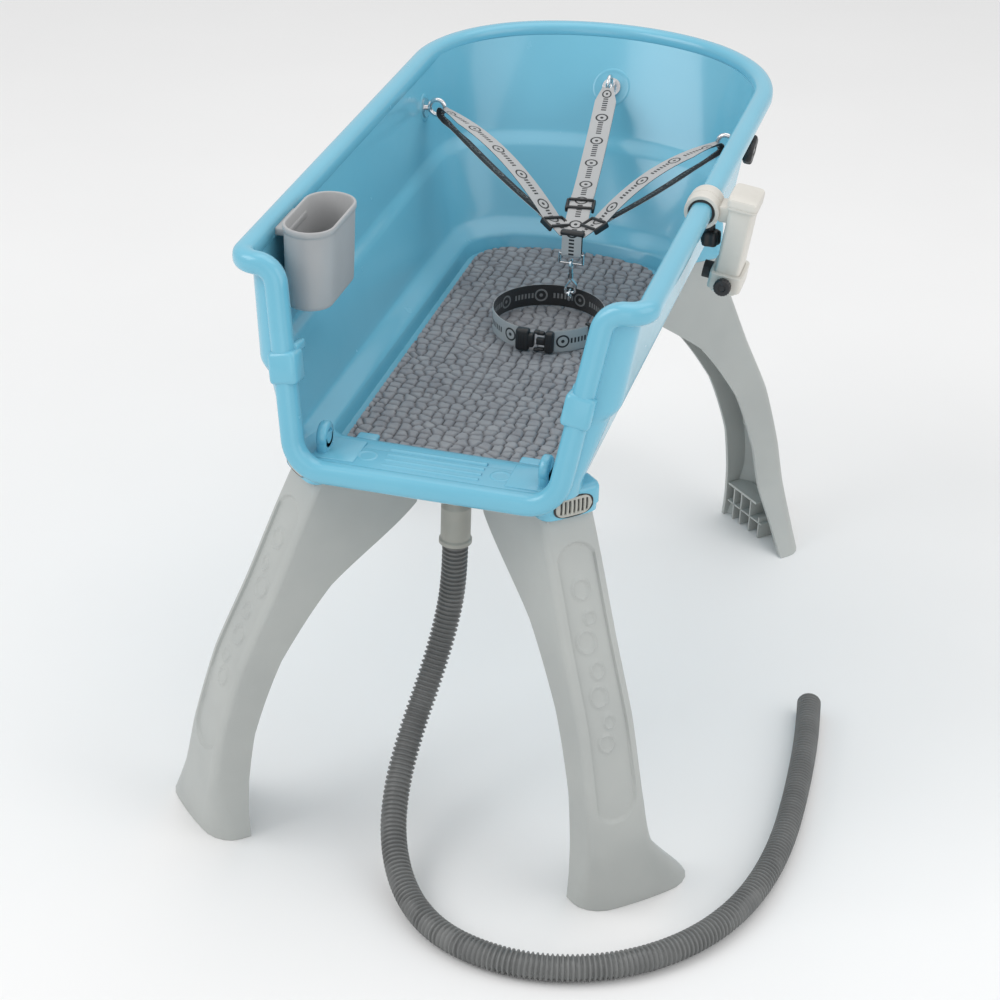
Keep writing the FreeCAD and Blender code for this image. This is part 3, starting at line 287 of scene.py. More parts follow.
def sweep(path, outward, profile, closed=False, scale=None):
    """Carries a section along a path; its first axis points as near outward as it can."""
    path = np.asarray(path, float)
    if closed:
        ahead = unit(np.roll(path, -1, 0) - np.roll(path, 1, 0))
    else:
        ahead = unit(np.gradient(path, axis=0))
    outward = np.broadcast_to(np.asarray(outward, float), path.shape)
    side = unit(outward - (outward * ahead).sum(1)[:, None] * ahead)
    top = np.cross(ahead, side)
    grow = np.ones(len(path)) if scale is None else np.asarray(scale, float)
    rings = (path[:, None] + profile[None, :, :1] * side[:, None] * grow[:, None, None]
             + profile[None, :, 1:] * top[:, None] * grow[:, None, None])
    n, k = len(path), len(profile)
    faces = grid_faces(n, k, True, True) if closed else skin_faces(n, k)
    return rings.reshape(-1, 3), faces


def rounded_path(corners, radii, step=4.0):
    """A path of straight runs and arcs, with points about step apart."""
    corners = [np.asarray(c, float) for c in corners]
    points = [corners[0]]
    for before, corner, after, radius in zip(corners, corners[1:], corners[2:], radii):
        a, b = unit(before - corner), unit(after - corner)
        half = math.acos(np.clip(-(a @ b), -1, 1)) / 2
        cut = radius * math.tan(half)
        centre = corner + unit(a + b) * radius / math.cos(half)
        start, end = corner + a * cut - centre, corner + b * cut - centre
        count = max(3, int(radius * 2 * half / step))
        for t in np.linspace(0, 1, count + 1):
            swung = start * math.sin((1 - t) * 2 * half) + end * math.sin(t * 2 * half)
            points.append(centre + swung / math.sin(2 * half))
    points.append(corners[-1])
    return even(np.array(points), step)


def even(points, step, count=None):
    """The same line with evenly spaced points."""
    far = np.concatenate([[0], np.cumsum(np.linalg.norm(np.diff(points, axis=0), axis=1))])
    count = count or max(2, int(round(far[-1] / step)) + 1)
    want = np.linspace(0, far[-1], count)
    return np.stack([np.interp(want, far, points[:, i]) for i in range(3)], 1)


def turned(profile, count=40, at=(0, 0, 0), way=Z_WAY, lobes=0, depth=0.0):
    """A profile of (radius, height) turned about an axis; lobes make it a star or a knurl."""
    way = unit(way)
    first = unit(np.cross(way, X_WAY if abs(way[0]) < 0.9 else Y_WAY))
    second = np.cross(way, first)
    t = np.linspace(0, 2 * math.pi, count, endpoint=False)
    wave = 1 + (depth * np.cos(lobes * t) if lobes else 0 * t)
    around = first * np.cos(t)[:, None] + second * np.sin(t)[:, None]
    rings = [np.asarray(at, float) + way * h + r * wave[:, None] * around for r, h in profile]
    return np.vstack(rings), skin_faces(len(profile), count)


def rounded_block(size, at, radius, turn=None, segments=3):
    """A block with rounded edges, turned by a 3 by 3 matrix about its middle."""
    shape = bmesh.new()
    bmesh.ops.create_cube(shape, size=1)
    bmesh.ops.scale(shape, vec=size, verts=shape.verts)
    bmesh.ops.bevel(shape, geom=shape.edges[:], offset=radius, segments=segments, affect="EDGES", profile=0.5)
    points = np.array([v.co for v in shape.verts])
    faces = [[v.index for v in face.verts] for face in shape.faces]
    shape.free()
    turn = np.eye(3) if turn is None else np.asarray(turn, float)
    return points @ turn.T + at, faces


# %% Objects
def outward_faces(mesh):
    """Merges points that meet and turns every face outwards."""
    shape = bmesh.new()
    shape.from_mesh(mesh)
    bmesh.ops.remove_doubles(shape, verts=shape.verts, dist=1e-6)
    bmesh.ops.recalc_face_normals(shape, faces=shape.faces)
    shape.to_mesh(mesh)
    shape.free()


def piece(name, part, body, slot, stands_for=(), sharp=35, finish=None, closed=True):
    """Makes an object from points in drawing units and hangs it on its body."""
    mesh = bpy.data.meshes.new(name)
    mesh.from_pydata(metres(part[0]).tolist(), [], part[1])
    mesh.materials.append(finish or FINISHES[slot])
    if closed:
        outward_faces(mesh)
    made = bpy.data.objects.new(name, mesh)
    scene.collection.objects.link(made)
    mesh.shade_smooth()
    mesh.set_sharp_from_angle(angle=math.radians(sharp))
    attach(made, body)
    if stands_for:
        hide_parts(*stands_for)
    return made


# %% Geometry Nodes
def new_tree(name, **inputs):
    """An empty node group with a geometry input and output and named numbers."""
    tree = bpy.data.node_groups.new(name, "GeometryNodeTree")
    tree.interface.new_socket("Geometry", in_out="INPUT", socket_type="NodeSocketGeometry")
    for label, value in inputs.items():
        kind = "NodeSocketInt" if isinstance(value, int) else "NodeSocketFloat"
        socket = tree.interface.new_socket(label, in_out="INPUT", socket_type=kind)
        socket.default_value = value
    tree.interface.new_socket("Geometry", in_out="OUTPUT", socket_type="NodeSocketGeometry")
    return tree, tree.nodes.new("NodeGroupInput").outputs


def add(tree, kind, links=(), out=0, **settings):
    """One node: links are (input, source) pairs, settings with a capital are input values."""
    made = tree.nodes.new(kind)
    for label, value in settings.items():
        if label[0].isupper():
            made.inputs[label.replace("_", " ")].default_value = value
        else:
            setattr(made, label, value)
    for key, source in links:
        tree.links.new(source, made.inputs[key])
    return made.outputs[out]


def end_tree(tree, geometry, finish):
    """Gives the tree its finish and its output."""
    real = add(tree, "GeometryNodeRealizeInstances", [("Geometry", geometry)])
    dressed = add(tree, "GeometryNodeSetMaterial", [("Geometry", real)], Material=finish)
    tree.links.new(dressed, tree.nodes.new("NodeGroupOutput").inputs[0])


def grow(name, tree, source, body, slot, stands_for=(), sharp=35, **inputs):
    """Runs a tree on a source mesh, in metres, and keeps its result as a plain mesh."""
    holder = bpy.data.objects.new(name + "_source", source)
    scene.collection.objects.link(holder)
    run = holder.modifiers.new("grow", "NODES")
    run.node_group = tree
    for item in tree.interface.items_tree:
        if item.in_out == "INPUT" and item.name in inputs:
            run[item.identifier] = inputs[item.name]
    mesh = bpy.data.meshes.new_from_object(holder.evaluated_get(bpy.context.evaluated_depsgraph_get()))
    holder.modifiers.clear()
    bpy.data.objects.remove(holder)
    mesh.name = name
    made = bpy.data.objects.new(name, mesh)
    scene.collection.objects.link(made)
    mesh.shade_smooth()
    mesh.set_sharp_from_angle(angle=math.radians(sharp))
    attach(made, body)
    if stands_for:
        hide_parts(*stands_for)
    print(name, len(mesh.polygons), "faces")
    return made


def point_mesh(name, points, joined=False):
    """A mesh of bare points in drawing units, or of one line through them."""
    mesh = bpy.data.meshes.new(name)
    points = metres(points)
    mesh.from_pydata(points.tolist(), [(i, i + 1) for i in range(len(points) - 1)] if joined else [], [])
    return mesh


# %% [markdown]
# ## Drain hose
# A corrugated hose drops from the coupling under the tub, bends forward and lies in one
# long curve on the floor. Its centre line is a smooth spline through few points. The rings
# could be a bump, but they break the outline of the hose, so a node tree carries a circle
# along the line and swells it on every other step.

# %% Hose
HOSE_RADIUS, RING_PITCH, RING_DEPTH = 0.0135, 0.0050, 0.17
HOSE_POINTS = [
    (0, 116, 300), (0, 116, 252), (-5, 103, 203), (-13, 77, 155), (-22, 40, 109), (-24, -4, 68),
    (-13, -52, 37), (14, -102, 18.5), (52, -143, 13.5), (98, -168, 13.5), (157, -177, 13.5),
    (214, -165, 13.5), (266, -137, 13.5), (310, -92, 13.5), (341, -36, 13.5), (359, 28, 13.5),
    (367, 99, 13.5), (367, 172, 13.5), (364, 246, 13.5), (359, 312, 13.5), (352, 367, 13.5),
]


def smooth_line(points):
    """Points read from an open spline that has these as its control points."""
    data = bpy.data.curves.new("route", "CURVE")
    data.dimensions, data.resolution_u = "3D", 12
    spline = data.splines.new("NURBS")
    spline.points.add(len(points) - 1)
    for point, at in zip(spline.points, metres(points)):
        point.co = (*at, 1)
    spline.order_u, spline.use_endpoint_u = 3, True
    holder = bpy.data.objects.new("route", data)
    scene.collection.objects.link(holder)
    line = bpy.data.meshes.new_from_object(holder)
    bpy.data.objects.remove(holder)
    return line


hose_line = smooth_line(HOSE_POINTS)
hose_path = np.array([v.co for v in hose_line.vertices])
hose_length = float(np.linalg.norm(np.diff(hose_path, axis=0), axis=1).sum())
tree, given = new_tree("hose_rings", Steps=1000, Radius=HOSE_RADIUS, Depth=RING_DEPTH)
curve = add(tree, "GeometryNodeMeshToCurve", [("Mesh", given["Geometry"])])
curve = add(tree, "GeometryNodeResampleCurve", [("Curve", curve), ("Count", given["Steps"])])
place_in_ring = add(tree, "ShaderNodeMath", [(0, add(tree, "GeometryNodeInputIndex"))], operation="MODULO")
place_in_ring.node.inputs[1].default_value = 4
in_groove = add(tree, "ShaderNodeMath", [(0, place_in_ring)], operation="LESS_THAN")
in_groove.node.inputs[1].default_value = 1.5
shrink = add(tree, "ShaderNodeMath", [(0, in_groove), (1, given["Depth"])], operation="MULTIPLY")
swell = add(tree, "ShaderNodeMath", [(1, shrink)], operation="SUBTRACT")
swell.node.inputs[0].default_value = 1
circle = add(tree, "GeometryNodeCurvePrimitiveCircle", [("Radius", given["Radius"])], Resolution=22)
tube = add(tree, "GeometryNodeCurveToMesh", [("Curve", curve), ("Profile Curve", circle), ("Scale", swell)])
tube.node.inputs["Fill Caps"].default_value = True
end_tree(tree, tube, FINISHES["hose_plastic"])
hose = grow("drain_hose_ribbed", tree, hose_line, "tub", "hose_plastic", ["drain_hose"], 60,
            Steps=int(hose_length / RING_PITCH) * 4)
print("hose", round(hose_length, 3), "m")

# %% [markdown]
# ## The tub
# On the real bath this is one rotational moulding: a thin wall with soft corners, two
# steps that stiffen it, a low front to walk over, and a thick rolled edge all round.
# Subdividing a few blocks would give soft corners too, but not these exact widths, so each
# level is an outline with a bowed back, and the levels between are blended by numbers.

# %% Levels of the tub
RIM, LIP, FRONT_LEAN, FRONT_FACE = 619, 424, 36, -4
OPEN_LOW, OPEN_HIGH, SILL_TOP, WALL = 130, 162, 430.5, 4
SILL_ZONE = 440  # below this height the front levels are cut off at the sill


def lean_at(z):
    """How far back the front of the tub leans at a height."""
    return FRONT_FACE + FRONT_LEAN * np.clip(z - LIP, 0, None) / (RIM - LIP)


def open_half(z):
    """Half the width of the front opening at a height."""
    return OPEN_LOW + (OPEN_HIGH - OPEN_LOW) * np.clip((z - LIP) / (RIM - LIP), 0, 1)


def arc(centre, radius, start, end, count):
    """Points of a flat arc."""
    t = np.linspace(start, end, count)
    return np.stack([centre[0] + radius * np.cos(t), centre[1] + radius * np.sin(t)], 1)


def resample(line, count):
    """The same flat line with a given number of even steps."""
    far = np.concatenate([[0], np.cumsum(np.linalg.norm(np.diff(line, axis=0), axis=1))])
    want = np.linspace(0, far[-1], count + 1)
    return np.stack([np.interp(want, far, line[:, 0]), np.interp(want, far, line[:, 1])], 1)[:-1]


FRONT, POST, SIDE, CORNER, BACK = 10, 12, 44, 22, 16


def half_outline(half, back, corner, bow, front, front_corner, split):
    """The right half of one level, from the middle of the front to the middle of the back."""
    side_end = back - bow + math.sqrt((bow - corner) ** 2 - (half - corner) ** 2)
    tilt = math.atan2(half - corner, side_end - (back - bow))
    turn = arc((half - front_corner, front + front_corner), front_corner, -math.pi / 2, 0, 12)
    front_line = np.vstack([[[0, front]], turn])
    far = np.concatenate([[0], np.cumsum(np.linalg.norm(np.diff(front_line, axis=0), axis=1))])
    dense = np.linspace(0, far[-1], 400)
    dense = np.stack([np.interp(dense, far, front_line[:, 0]), np.interp(dense, far, front_line[:, 1])], 1)
    cut = int(np.searchsorted(dense[:, 0], min(split, half - 0.3 * front_corner)))
    return np.vstack([
        resample(dense[:cut + 1], FRONT), resample(dense[cut:], POST),
        resample(np.array([[half, front + front_corner], [half, side_end]]), SIDE),
        resample(arc((half - corner, side_end), corner, 0, math.pi / 2 - tilt, 24), CORNER),
        resample(arc((0, back - bow), bow, math.pi / 2 - tilt, math.pi / 2, 24), BACK),
        [[0, back]],
    ])


def level(row, grow=0.0):
    """A closed loop of points at one level, starting and ending at the middle of the front."""
    half, back, corner, bow, front, front_corner, z = row
    right_half = half_outline(half + grow, back + grow, corner, bow, front, front_corner, open_half(z))
    loop = np.vstack([right_half, right_half[-2:0:-1] * [-1, 1]])
    return np.column_stack([loop, np.full(len(loop), z)])


# half width, back, rear corner, bow, front, front corner, height; blends soften each step
ROWS = np.array([
    (118, 627, 55, 350, 76, 20, 411), (123, 634, 60, 350, 76, 20, 427), (143, 658, 75, 330, 5, 24, 437),
    (167, 717, 90, 300, 16, 26, 510), (176, 735, 95, 300, 18, 26, 519), (190, 801, 161, 231, 36, 26, 619),
], float)


def profile_rows():
    """Straight runs between the rows, with each corner eased by a small curve."""
    rows = [ROWS[0]]
    for i in range(1, len(ROWS) - 1):
        a, b, c = ROWS[i - 1], ROWS[i], ROWS[i + 1]
        ease_in = min(0.45, 3.5 / abs(b[6] - a[6])) if abs(b[6] - a[6]) > 12 else 0.45
        ease_out = min(0.45, 3.5 / abs(c[6] - b[6])) if abs(c[6] - b[6]) > 12 else 0.45
        start, end = b + (a - b) * ease_in, b + (c - b) * ease_out
        last = rows[-1]
        runs = max(1, int(abs(start[6] - last[6]) / 7))
        rows += [last + (start - last) * t for t in np.linspace(0, 1, runs + 1)[1:]]
        rows += [start * (1 - t) ** 2 + 2 * b * t * (1 - t) + end * t ** 2 for t in np.linspace(0, 1, 5)[1:]]
    last = rows[-1]
    rows += [last + (ROWS[-1] - last) * t for t in np.linspace(0, 1, 13)[1:]]
    return rows


loops = [level(row) for row in profile_rows()]
SPAN = len(loops[0])
for loop in loops:
    front_part = np.r_[0:FRONT + POST + 1, SPAN - FRONT - POST:SPAN]
    height = loop[front_part, 2]
    loop[front_part, 2] = np.where(height < SILL_ZONE, np.minimum(height, SILL_TOP), height)
print(len(loops), "levels of", SPAN, "points")


# %% Basin sheet
def basin_sheet():
    """Floor, sill and wall as one sheet; above the sill the front is left open."""
    count = 1
    points, faces = [[[0, 340, ROWS[0][6]]]], []
    inner = [loops[0] * [k, k, 1] + [0, 340 * (1 - k), 0] for k in (0.12, 0.3, 0.5, 0.7, 0.85, 0.94, 0.985)]
    stack = inner + loops
    starts = []
    for loop in stack:
        starts.append(count)
        points.append(loop)
        count += len(loop)
    faces += [[0, starts[0] + i, starts[0] + (i + 1) % SPAN] for i in range(SPAN)]
    for n, (a, b) in enumerate(zip(starts, starts[1:])):
        above_sill = stack[n + 1][SPAN // 2, 2] > ROWS[2][6] + 0.1
        for i in range(SPAN):
            j = (i + 1) % SPAN
            if above_sill and (i < FRONT or i >= SPAN - FRONT):
                continue
            faces.append([a + i, b + i, b + j, a + j])
    return np.vstack([np.asarray(p, float) for p in points]), faces


sheet_points, sheet_faces = basin_sheet()
mesh = bpy.data.meshes.new("tub_wall")
mesh.from_pydata(metres(sheet_points).tolist(), [], sheet_faces)
wall_object = bpy.data.objects.new("tub_wall", mesh)
scene.collection.objects.link(wall_object)
check = mesh.polygons[0].normal
if check.z < 0:
    mesh.flip_normals()
thicken = wall_object.modifiers.new("wall", "SOLIDIFY")
thicken.thickness, thicken.offset, thicken.use_even_offset = WALL / 1000, -1, True
wall_mesh = bpy.data.meshes.new_from_object(wall_object.evaluated_get(bpy.context.evaluated_depsgraph_get()))
bpy.data.objects.remove(wall_object)


def as_part(source):
    """Points in drawing units and faces of a mesh in metres."""
    points = np.array([v.co for v in source.vertices]) * 1000 + [0, ORIGIN_Y, 0]
    return points, [list(face.vertices) for face in source.polygons]


wall_part = as_part(wall_mesh)
print("wall", len(wall_part[1]), "faces")

# %% [markdown]
# ### The rolled edge
# The roll runs round the rim, bends down each post, and crosses the sill. Carrying one
# rounded section along that closed path keeps its width true through every bend, which a
# chain of separate bars would not.

# %% Rolled edge
ROLL, RIM_HALF, RIM_BACK = 11, 199, 819


def roll_path():
    """The closed path of the rolled edge, from the middle of the sill."""
    side_end = RIM_BACK - 240 + math.sqrt(70 ** 2 - 29 ** 2)
    tilt = math.atan2(29, side_end - (RIM_BACK - 240))
    top = float(lean_at(RIM))
    front = rounded_path([(0, FRONT_FACE, LIP), (OPEN_LOW, FRONT_FACE, LIP), (OPEN_HIGH, top, RIM),
                          (RIM_HALF, top, RIM), (RIM_HALF, top + 90, RIM)], [34, 21, 20], 3.5)
    side = even(np.array([(RIM_HALF, top + 90, RIM), (RIM_HALF, side_end, RIM)]), 8)
    corner = arc((RIM_HALF - 170, side_end), 170, 0, math.pi / 2 - tilt, 34)
    back = arc((0, RIM_BACK - 240), 240, math.pi / 2 - tilt, math.pi / 2, 20)
    bent = np.vstack([corner[1:], back[1:]])
    half = np.vstack([front[:-1], side, np.column_stack([bent, np.full(len(bent), RIM)])])
    return np.vstack([half, half[-2:0:-1] * [-1, 1, 1]])


path = roll_path()
middle = np.array([0, 400, 0])
out_way = unit((path - middle) * [1, 1, 0])
flat_run = np.array(path[:, 2] < RIM - 0.5) | (path[:, 1] < 45)
out_way[flat_run] = [0, -1, 0.1]
rim_corner = (path[:, 2] > RIM - 0.5) & (abs(path[:, 0]) > RIM_HALF - 24) & (path[:, 1] < 90)
corner_x, corner_y = path[rim_corner, 0], path[rim_corner, 1]
corner_away = [np.sign(corner_x) * (corner_y - 30), -30 + 0 * corner_y, 0 * corner_y]
out_way[rim_corner] = unit(np.stack(corner_away, 1))
edge_roll = sweep(path, out_way, rounded_outline(ROLL, ROLL, 2.5, 22), True)
print("roll", len(path), "steps")


# %% Small moulded details
LEG_MIRROR = 756


def diagonal(s, q, z, side, end):
    """A point by its distance out along a leg's diagonal and across it."""
    x, y = (s + q) / math.sqrt(2), (q - s) / math.sqrt(2)
    return np.array([side * x, y if end > 0 else LEG_MIRROR - y, z])


CORNERS = {"front_right": (1, 1), "front_left": (-1, 1), "back_right": (1, -1), "back_left": (-1, -1)}


def diagonal_turn(side, end):
    """A corner's own axes: out along the diagonal, across it, and up."""
    out = unit(diagonal(1, 0, 0, side, end) - diagonal(0, 0, 0, side, end))
    across = unit(diagonal(0, 1, 0, side, end) - diagonal(0, 0, 0, side, end))
    return np.column_stack([out, across, Z_WAY])


def wall_reach(z, q, side, end):
    """How far out along a corner's diagonal the inside of the tub reaches, at offsets q across it."""
    row = next(loop for loop in loops if loop[SPAN // 2, 2] >= z - 0.5)
    x, y = side * row[:, 0], row[:, 1] if end > 0 else LEG_MIRROR - row[:, 1]
    out, across = (x - y) / math.sqrt(2), (x + y) / math.sqrt(2)
    return np.array([out[np.argsort(abs(across - at))[:6]].max() for at in q])


def skirt(side, end):
    """The rounded corner block that a leg plugs into; it follows the tub's wall inside."""
    levels = [(398.4, 77.5, 58, 20), (400, 79.6, 61, 20), (407, 79.6, 62, 20), (407.6, 79.6, 62, 46),
              (424, 79.6, 62, 46), (427.5, 78, 60, 46), (429.5, 72, 54, 46)]
    if end < 0:
        levels = levels[:3] + [(407.6, 79.6, 62, 0), (424, 79.6, 62, 0), (434, 79.6, 62, 0), (438, 79, 62, 0),
                               (480, 74, 60, 0), (512, 68, 56, 0)]
    rings = []
    for z, out, across, inner in levels:
        oval = rounded_outline(1, 1, 5, 40) * [(out - inner) / 2, across / 2 + 2] + [(out + inner) / 2, 120]
        if end < 0 and z > 407.3:
            oval[:, 0] = np.maximum(oval[:, 0], wall_reach(z, oval[:, 1], side, end) + 2)
        rings.append([diagonal(s, q, z, side, end) for s, q in oval])
    return np.vstack(rings), skin_faces(len(rings), 40)


def lugs(side):
    """The clip block round a post, its ridge, and the upright ear at the end of the sill."""
    z = 523
    x, y = float(open_half(z)), float(lean_at(z))
    splay = Matrix.Rotation(math.radians(9 * side), 3, "Y")
    turn = np.array(splay @ Matrix.Rotation(math.radians(-10), 3, "X"))
    block = rounded_block((29, 27, 33), (side * (x - 1), y + 1, z), 5, turn)
    ridge = rounded_block((8, 26, 11), (side * (x - 7), y + 18, z + 15), 3.5, turn)
    ear_section = [(0.01, -5), (12, -5), (14, -3), (14, 3), (12, 5), (8, 5), (7, 2), (0.01, 2)]
    ear = turned(ear_section, 28, (side * 112, 32, 446), -X_WAY * side)
    foot = rounded_block((10, 26, 24), (side * 112, 32, 437), 3)
    return join(block, ridge, ear, foot)


def dish(at, way, radius):
    """A shallow round seat with a raised border."""
    section = [(radius + 3, -4), (radius + 3, -0.6), (radius + 1.5, 0.8), (radius - 1, 0.9),
               (radius - 4, -0.2), (0.5, -0.3), (0.5, -4)]
    return turned(section, 40, at, way)


def wall_point(z, back=False):
    """How far out the inside of the wall is at a height."""
    if back:
        return 735 + 66 * (z - 519) / 100
    return 176 + 14 * (z - 519) / 100


SIDE_WAY = unit([0.9903, 0, 0.1386])
BACK_WAY = unit([0, -0.8346, 0.5508])
ANCHORS = {
    "left": (np.array([-wall_point(577), 604, 577]), SIDE_WAY),
    "right": (np.array([wall_point(577), 604, 577]), SIDE_WAY * [-1, 1, 1]),
    "back": (np.array([0, wall_point(569, True), 569]), BACK_WAY),
}
details = [skirt(*corner) for corner in CORNERS.values()] + [lugs(1), lugs(-1)]
details += [rounded_block((228, 52, 6), (0, 20, 428.1), 2)]
details += [dish(at, way, 21 if name == "back" else 14) for name, (at, way) in ANCHORS.items()]
for side in (-1, 1):
    details.append(dish((side * 68, 30, 430.8), Z_WAY, 9))
    details.append(rounded_block((22, 16, 7), (side * 84, 82, 421), 2.5))
    details.append(rounded_block((44, 46, 3), (side * 98, 34, 430.6), 1.2))
details.append(turned([(0.01, 400.5), (34, 400.5), (36, 402), (36, 409), (0.01, 409)], 48, (0, 116, 0)))
tub = piece("tub", join(wall_part, edge_roll, *details), "tub", "tub_plastic", ["tub_shell"], 50)
print("tub", len(tub.data.polygons), "faces")

# %% [markdown]
# ### Ridges on the sill
# Long ribs give wet paws a grip where they step over the front. They are one rib repeated,
# so a node tree places it along a line of points.

# %% Sill ridges
tree, given = new_tree("sill_ridges", Length=0.098, Width=0.0042)
rib = add(tree, "GeometryNodeCurvePrimitiveLine", Start=(-0.049, 0, 0), End=(0.049, 0, 0))
rib_ring = add(tree, "GeometryNodeCurvePrimitiveCircle", [("Radius", given["Width"])], Resolution=14)
rib = add(tree, "GeometryNodeCurveToMesh", [("Curve", rib), ("Profile Curve", rib_ring)])
rib.node.inputs["Fill Caps"].default_value = True
ribs = add(tree, "GeometryNodeInstanceOnPoints", [("Points", given["Geometry"]), ("Instance", rib)])
end_tree(tree, ribs, FINISHES["tub_plastic"])
ridge_points = point_mesh("ridge_points", [(0, y, 428.2) for y in (16, 27, 38, 49)])
grow("sill_ridges", tree, ridge_points, "tub", "tub_plastic", sharp=60)

# %% [markdown]
# ## Rubber mat
# The mat is moulded like cobbles so that a wet dog does not slip. A cell pattern whose
# distance to the nearest joint lifts the surface gives stones of uneven size that still
# fit together, and the same distance darkens the joints in the finish.

# %% Mat
MAT_LOW, MAT_TOP, STONE, STONE_HIGH = 411.2, 419, 12.5, 2.8
LIFT_ABOVE = 0.4145  # metres: only points above this height are lifted into stones


def mat_finish():
    """Grey rubber, darker in the joints between the stones."""
    material = bpy.data.materials.new("mat_rubber")
    nodes, links, shader = tree_of(material)
    depth = nodes.new("ShaderNodeAttribute")
    depth.attribute_name = "stone"
    vector = nodes.new("ShaderNodeTexCoord").outputs["Object"]
    stone = ramp(nodes, links, depth.outputs["Fac"],
                 [(0.0, (0.07, 0.073, 0.08)), (0.35, (0.24, 0.245, 0.26)), (1.0, (0.34, 0.345, 0.36))])
    grime = ramp(nodes, links, noise(nodes, links, vector, 45, 5),
                 [(0.3, (0.72, 0.72, 0.74)), (0.7, (1, 1, 1))])
    mix = nodes.new("ShaderNodeMix")
    mix.data_type, mix.blend_type = "RGBA", "MULTIPLY"
    mix.inputs["Factor"].default_value = 1
    links.new(stone, mix.inputs["A"])
    links.new(grime, mix.inputs["B"])
    links.new(mix.outputs["Result"], shader.inputs["Base Color"])
    links.new(spread(nodes, links, noise(nodes, links, vector, 120), 0.55, 0.75), shader.inputs["Roughness"])
    bump(nodes, links, shader, noise(nodes, links, vector, 700, 4), 0.5, 0.0006)
    return material


FINISHES["mat_rubber"] = mat_finish()


def mat_block(step=1.6):
    """A slab with the tub floor's outline and a fine grid on top."""
    rows, columns = int(537 / step), int(214 / step)
    y = np.linspace(79, 616, rows)
    front_round = np.clip(1 - (y - 79) / 12, 0, 1)
    back_round = np.clip((y - 560) / 57, 0, 1)
    half = 107.5 - 12 * (1 - np.sqrt(1 - front_round ** 2))
    half = half - 42 * (1 - np.sqrt(1 - np.minimum(back_round, 0.999) ** 2))
    x = np.linspace(-1, 1, columns)
    bow = 14 * np.clip((y - 540) / 76, 0, 1)
    bowed = y[:, None] - bow[:, None] * np.abs(x)[None] ** 2 * 0.9
    flat = np.full((rows, columns), MAT_TOP - STONE_HIGH)
    top = np.stack([np.outer(half, x), bowed, flat], 2).reshape(-1, 3)
    faces = grid_faces(rows, columns)
    border = grid_border(rows, columns)
    low = top[border].copy()
    low[:, 2] = MAT_LOW
    count, edge = len(top), len(border)
    after = border[1:] + border[:1]
    faces += [[border[i], count + i, count + (i + 1) % edge, after[i]] for i in range(edge)]
    faces.append([count + i for i in range(edge)][::-1])
    return np.vstack([top, low]), faces


mat_points, mat_faces = mat_block()
mesh = bpy.data.meshes.new("mat_sheet")
mesh.from_pydata(metres(mat_points).tolist(), [], mat_faces)
tree, given = new_tree("cobbles", Scale=1000 / STONE, High=STONE_HIGH / 1000, Joint=0.17)
position = add(tree, "GeometryNodeInputPosition")
cells = add(tree, "ShaderNodeTexVoronoi", [("Vector", position), ("Scale", given["Scale"])],
            voronoi_dimensions="2D", feature="DISTANCE_TO_EDGE", Randomness=0.62)
rise = add(tree, "ShaderNodeMapRange", [("Value", cells), ("From Max", given["Joint"])],
           interpolation_type="SMOOTHERSTEP")
split = add(tree, "ShaderNodeSeparateXYZ", [("Vector", position)], 2)
is_top = add(tree, "FunctionNodeCompare", [("A", split)], operation="GREATER_THAN", B=LIFT_ABOVE)
lift = add(tree, "ShaderNodeMath", [(0, rise), (1, given["High"])], operation="MULTIPLY")
offset = add(tree, "ShaderNodeCombineXYZ", [("Z", lift)])
raised = add(tree, "GeometryNodeSetPosition",
             [("Geometry", given["Geometry"]), ("Selection", is_top), ("Offset", offset)])
marked = add(tree, "GeometryNodeStoreNamedAttribute", [("Geometry", raised), ("Value", rise)], Name="stone")
end_tree(tree, marked, FINISHES["mat_rubber"])
grow("mat", tree, mesh, "tub", "mat_rubber", ["floor_mat"], 60)

# %% [markdown]
# ## Legs
# Each leg is an injection moulded channel: a curved outer face with two side walls, open
# towards the inside, that widens into a foot. It could be bent from a box, but a section
# drawn at many heights lets the sunk panel and its raised bubbles be part of the surface.

# %% Leg sections
# height, outer face, free edge of the side walls, right side, corner cut
LEG_ROWS = np.array([
    (398, 70, -50, 150, 8), (352, 92, -40, 151, 9), (280, 124, 56, 152, 9), (206, 160, 112, 153, 9),
    (127, 184, 143, 155, 9), (70, 192, 151, 165, 12), (30, 192, 152, 196, 26), (0, 190, 150, 223, 36),
], float)
LEG_LEFT, LEG_WALL, FACE_STEPS = 90, 4.5, 46
BUBBLES = [(120, 330, 9), (124, 303, 6), (116, 282, 10), (122, 255, 7), (118, 232, 9), (124, 208, 6),
           (118, 188, 8)]


def leg_row(z):
    """The leg's measures at a height, on a smooth curve through the rows."""
    heights = LEG_ROWS[::-1, 0]
    values = [z]
    for column in range(1, 5):
        known = LEG_ROWS[::-1, column]
        slope = np.gradient(known, heights)
        i = int(np.clip(np.searchsorted(heights, z) - 1, 0, len(heights) - 2))
        width = heights[i + 1] - heights[i]
        t = (z - heights[i]) / width
        straight = known[i] + (known[i + 1] - known[i]) * t
        curved = (known[i] * (2 * t ** 3 - 3 * t ** 2 + 1) + known[i + 1] * (3 * t ** 2 - 2 * t ** 3)
                  + slope[i] * width * (t ** 3 - 2 * t ** 2 + t) + slope[i + 1] * width * (t ** 3 - t ** 2))
        values.append(0.45 * straight + 0.55 * curved)
    return values


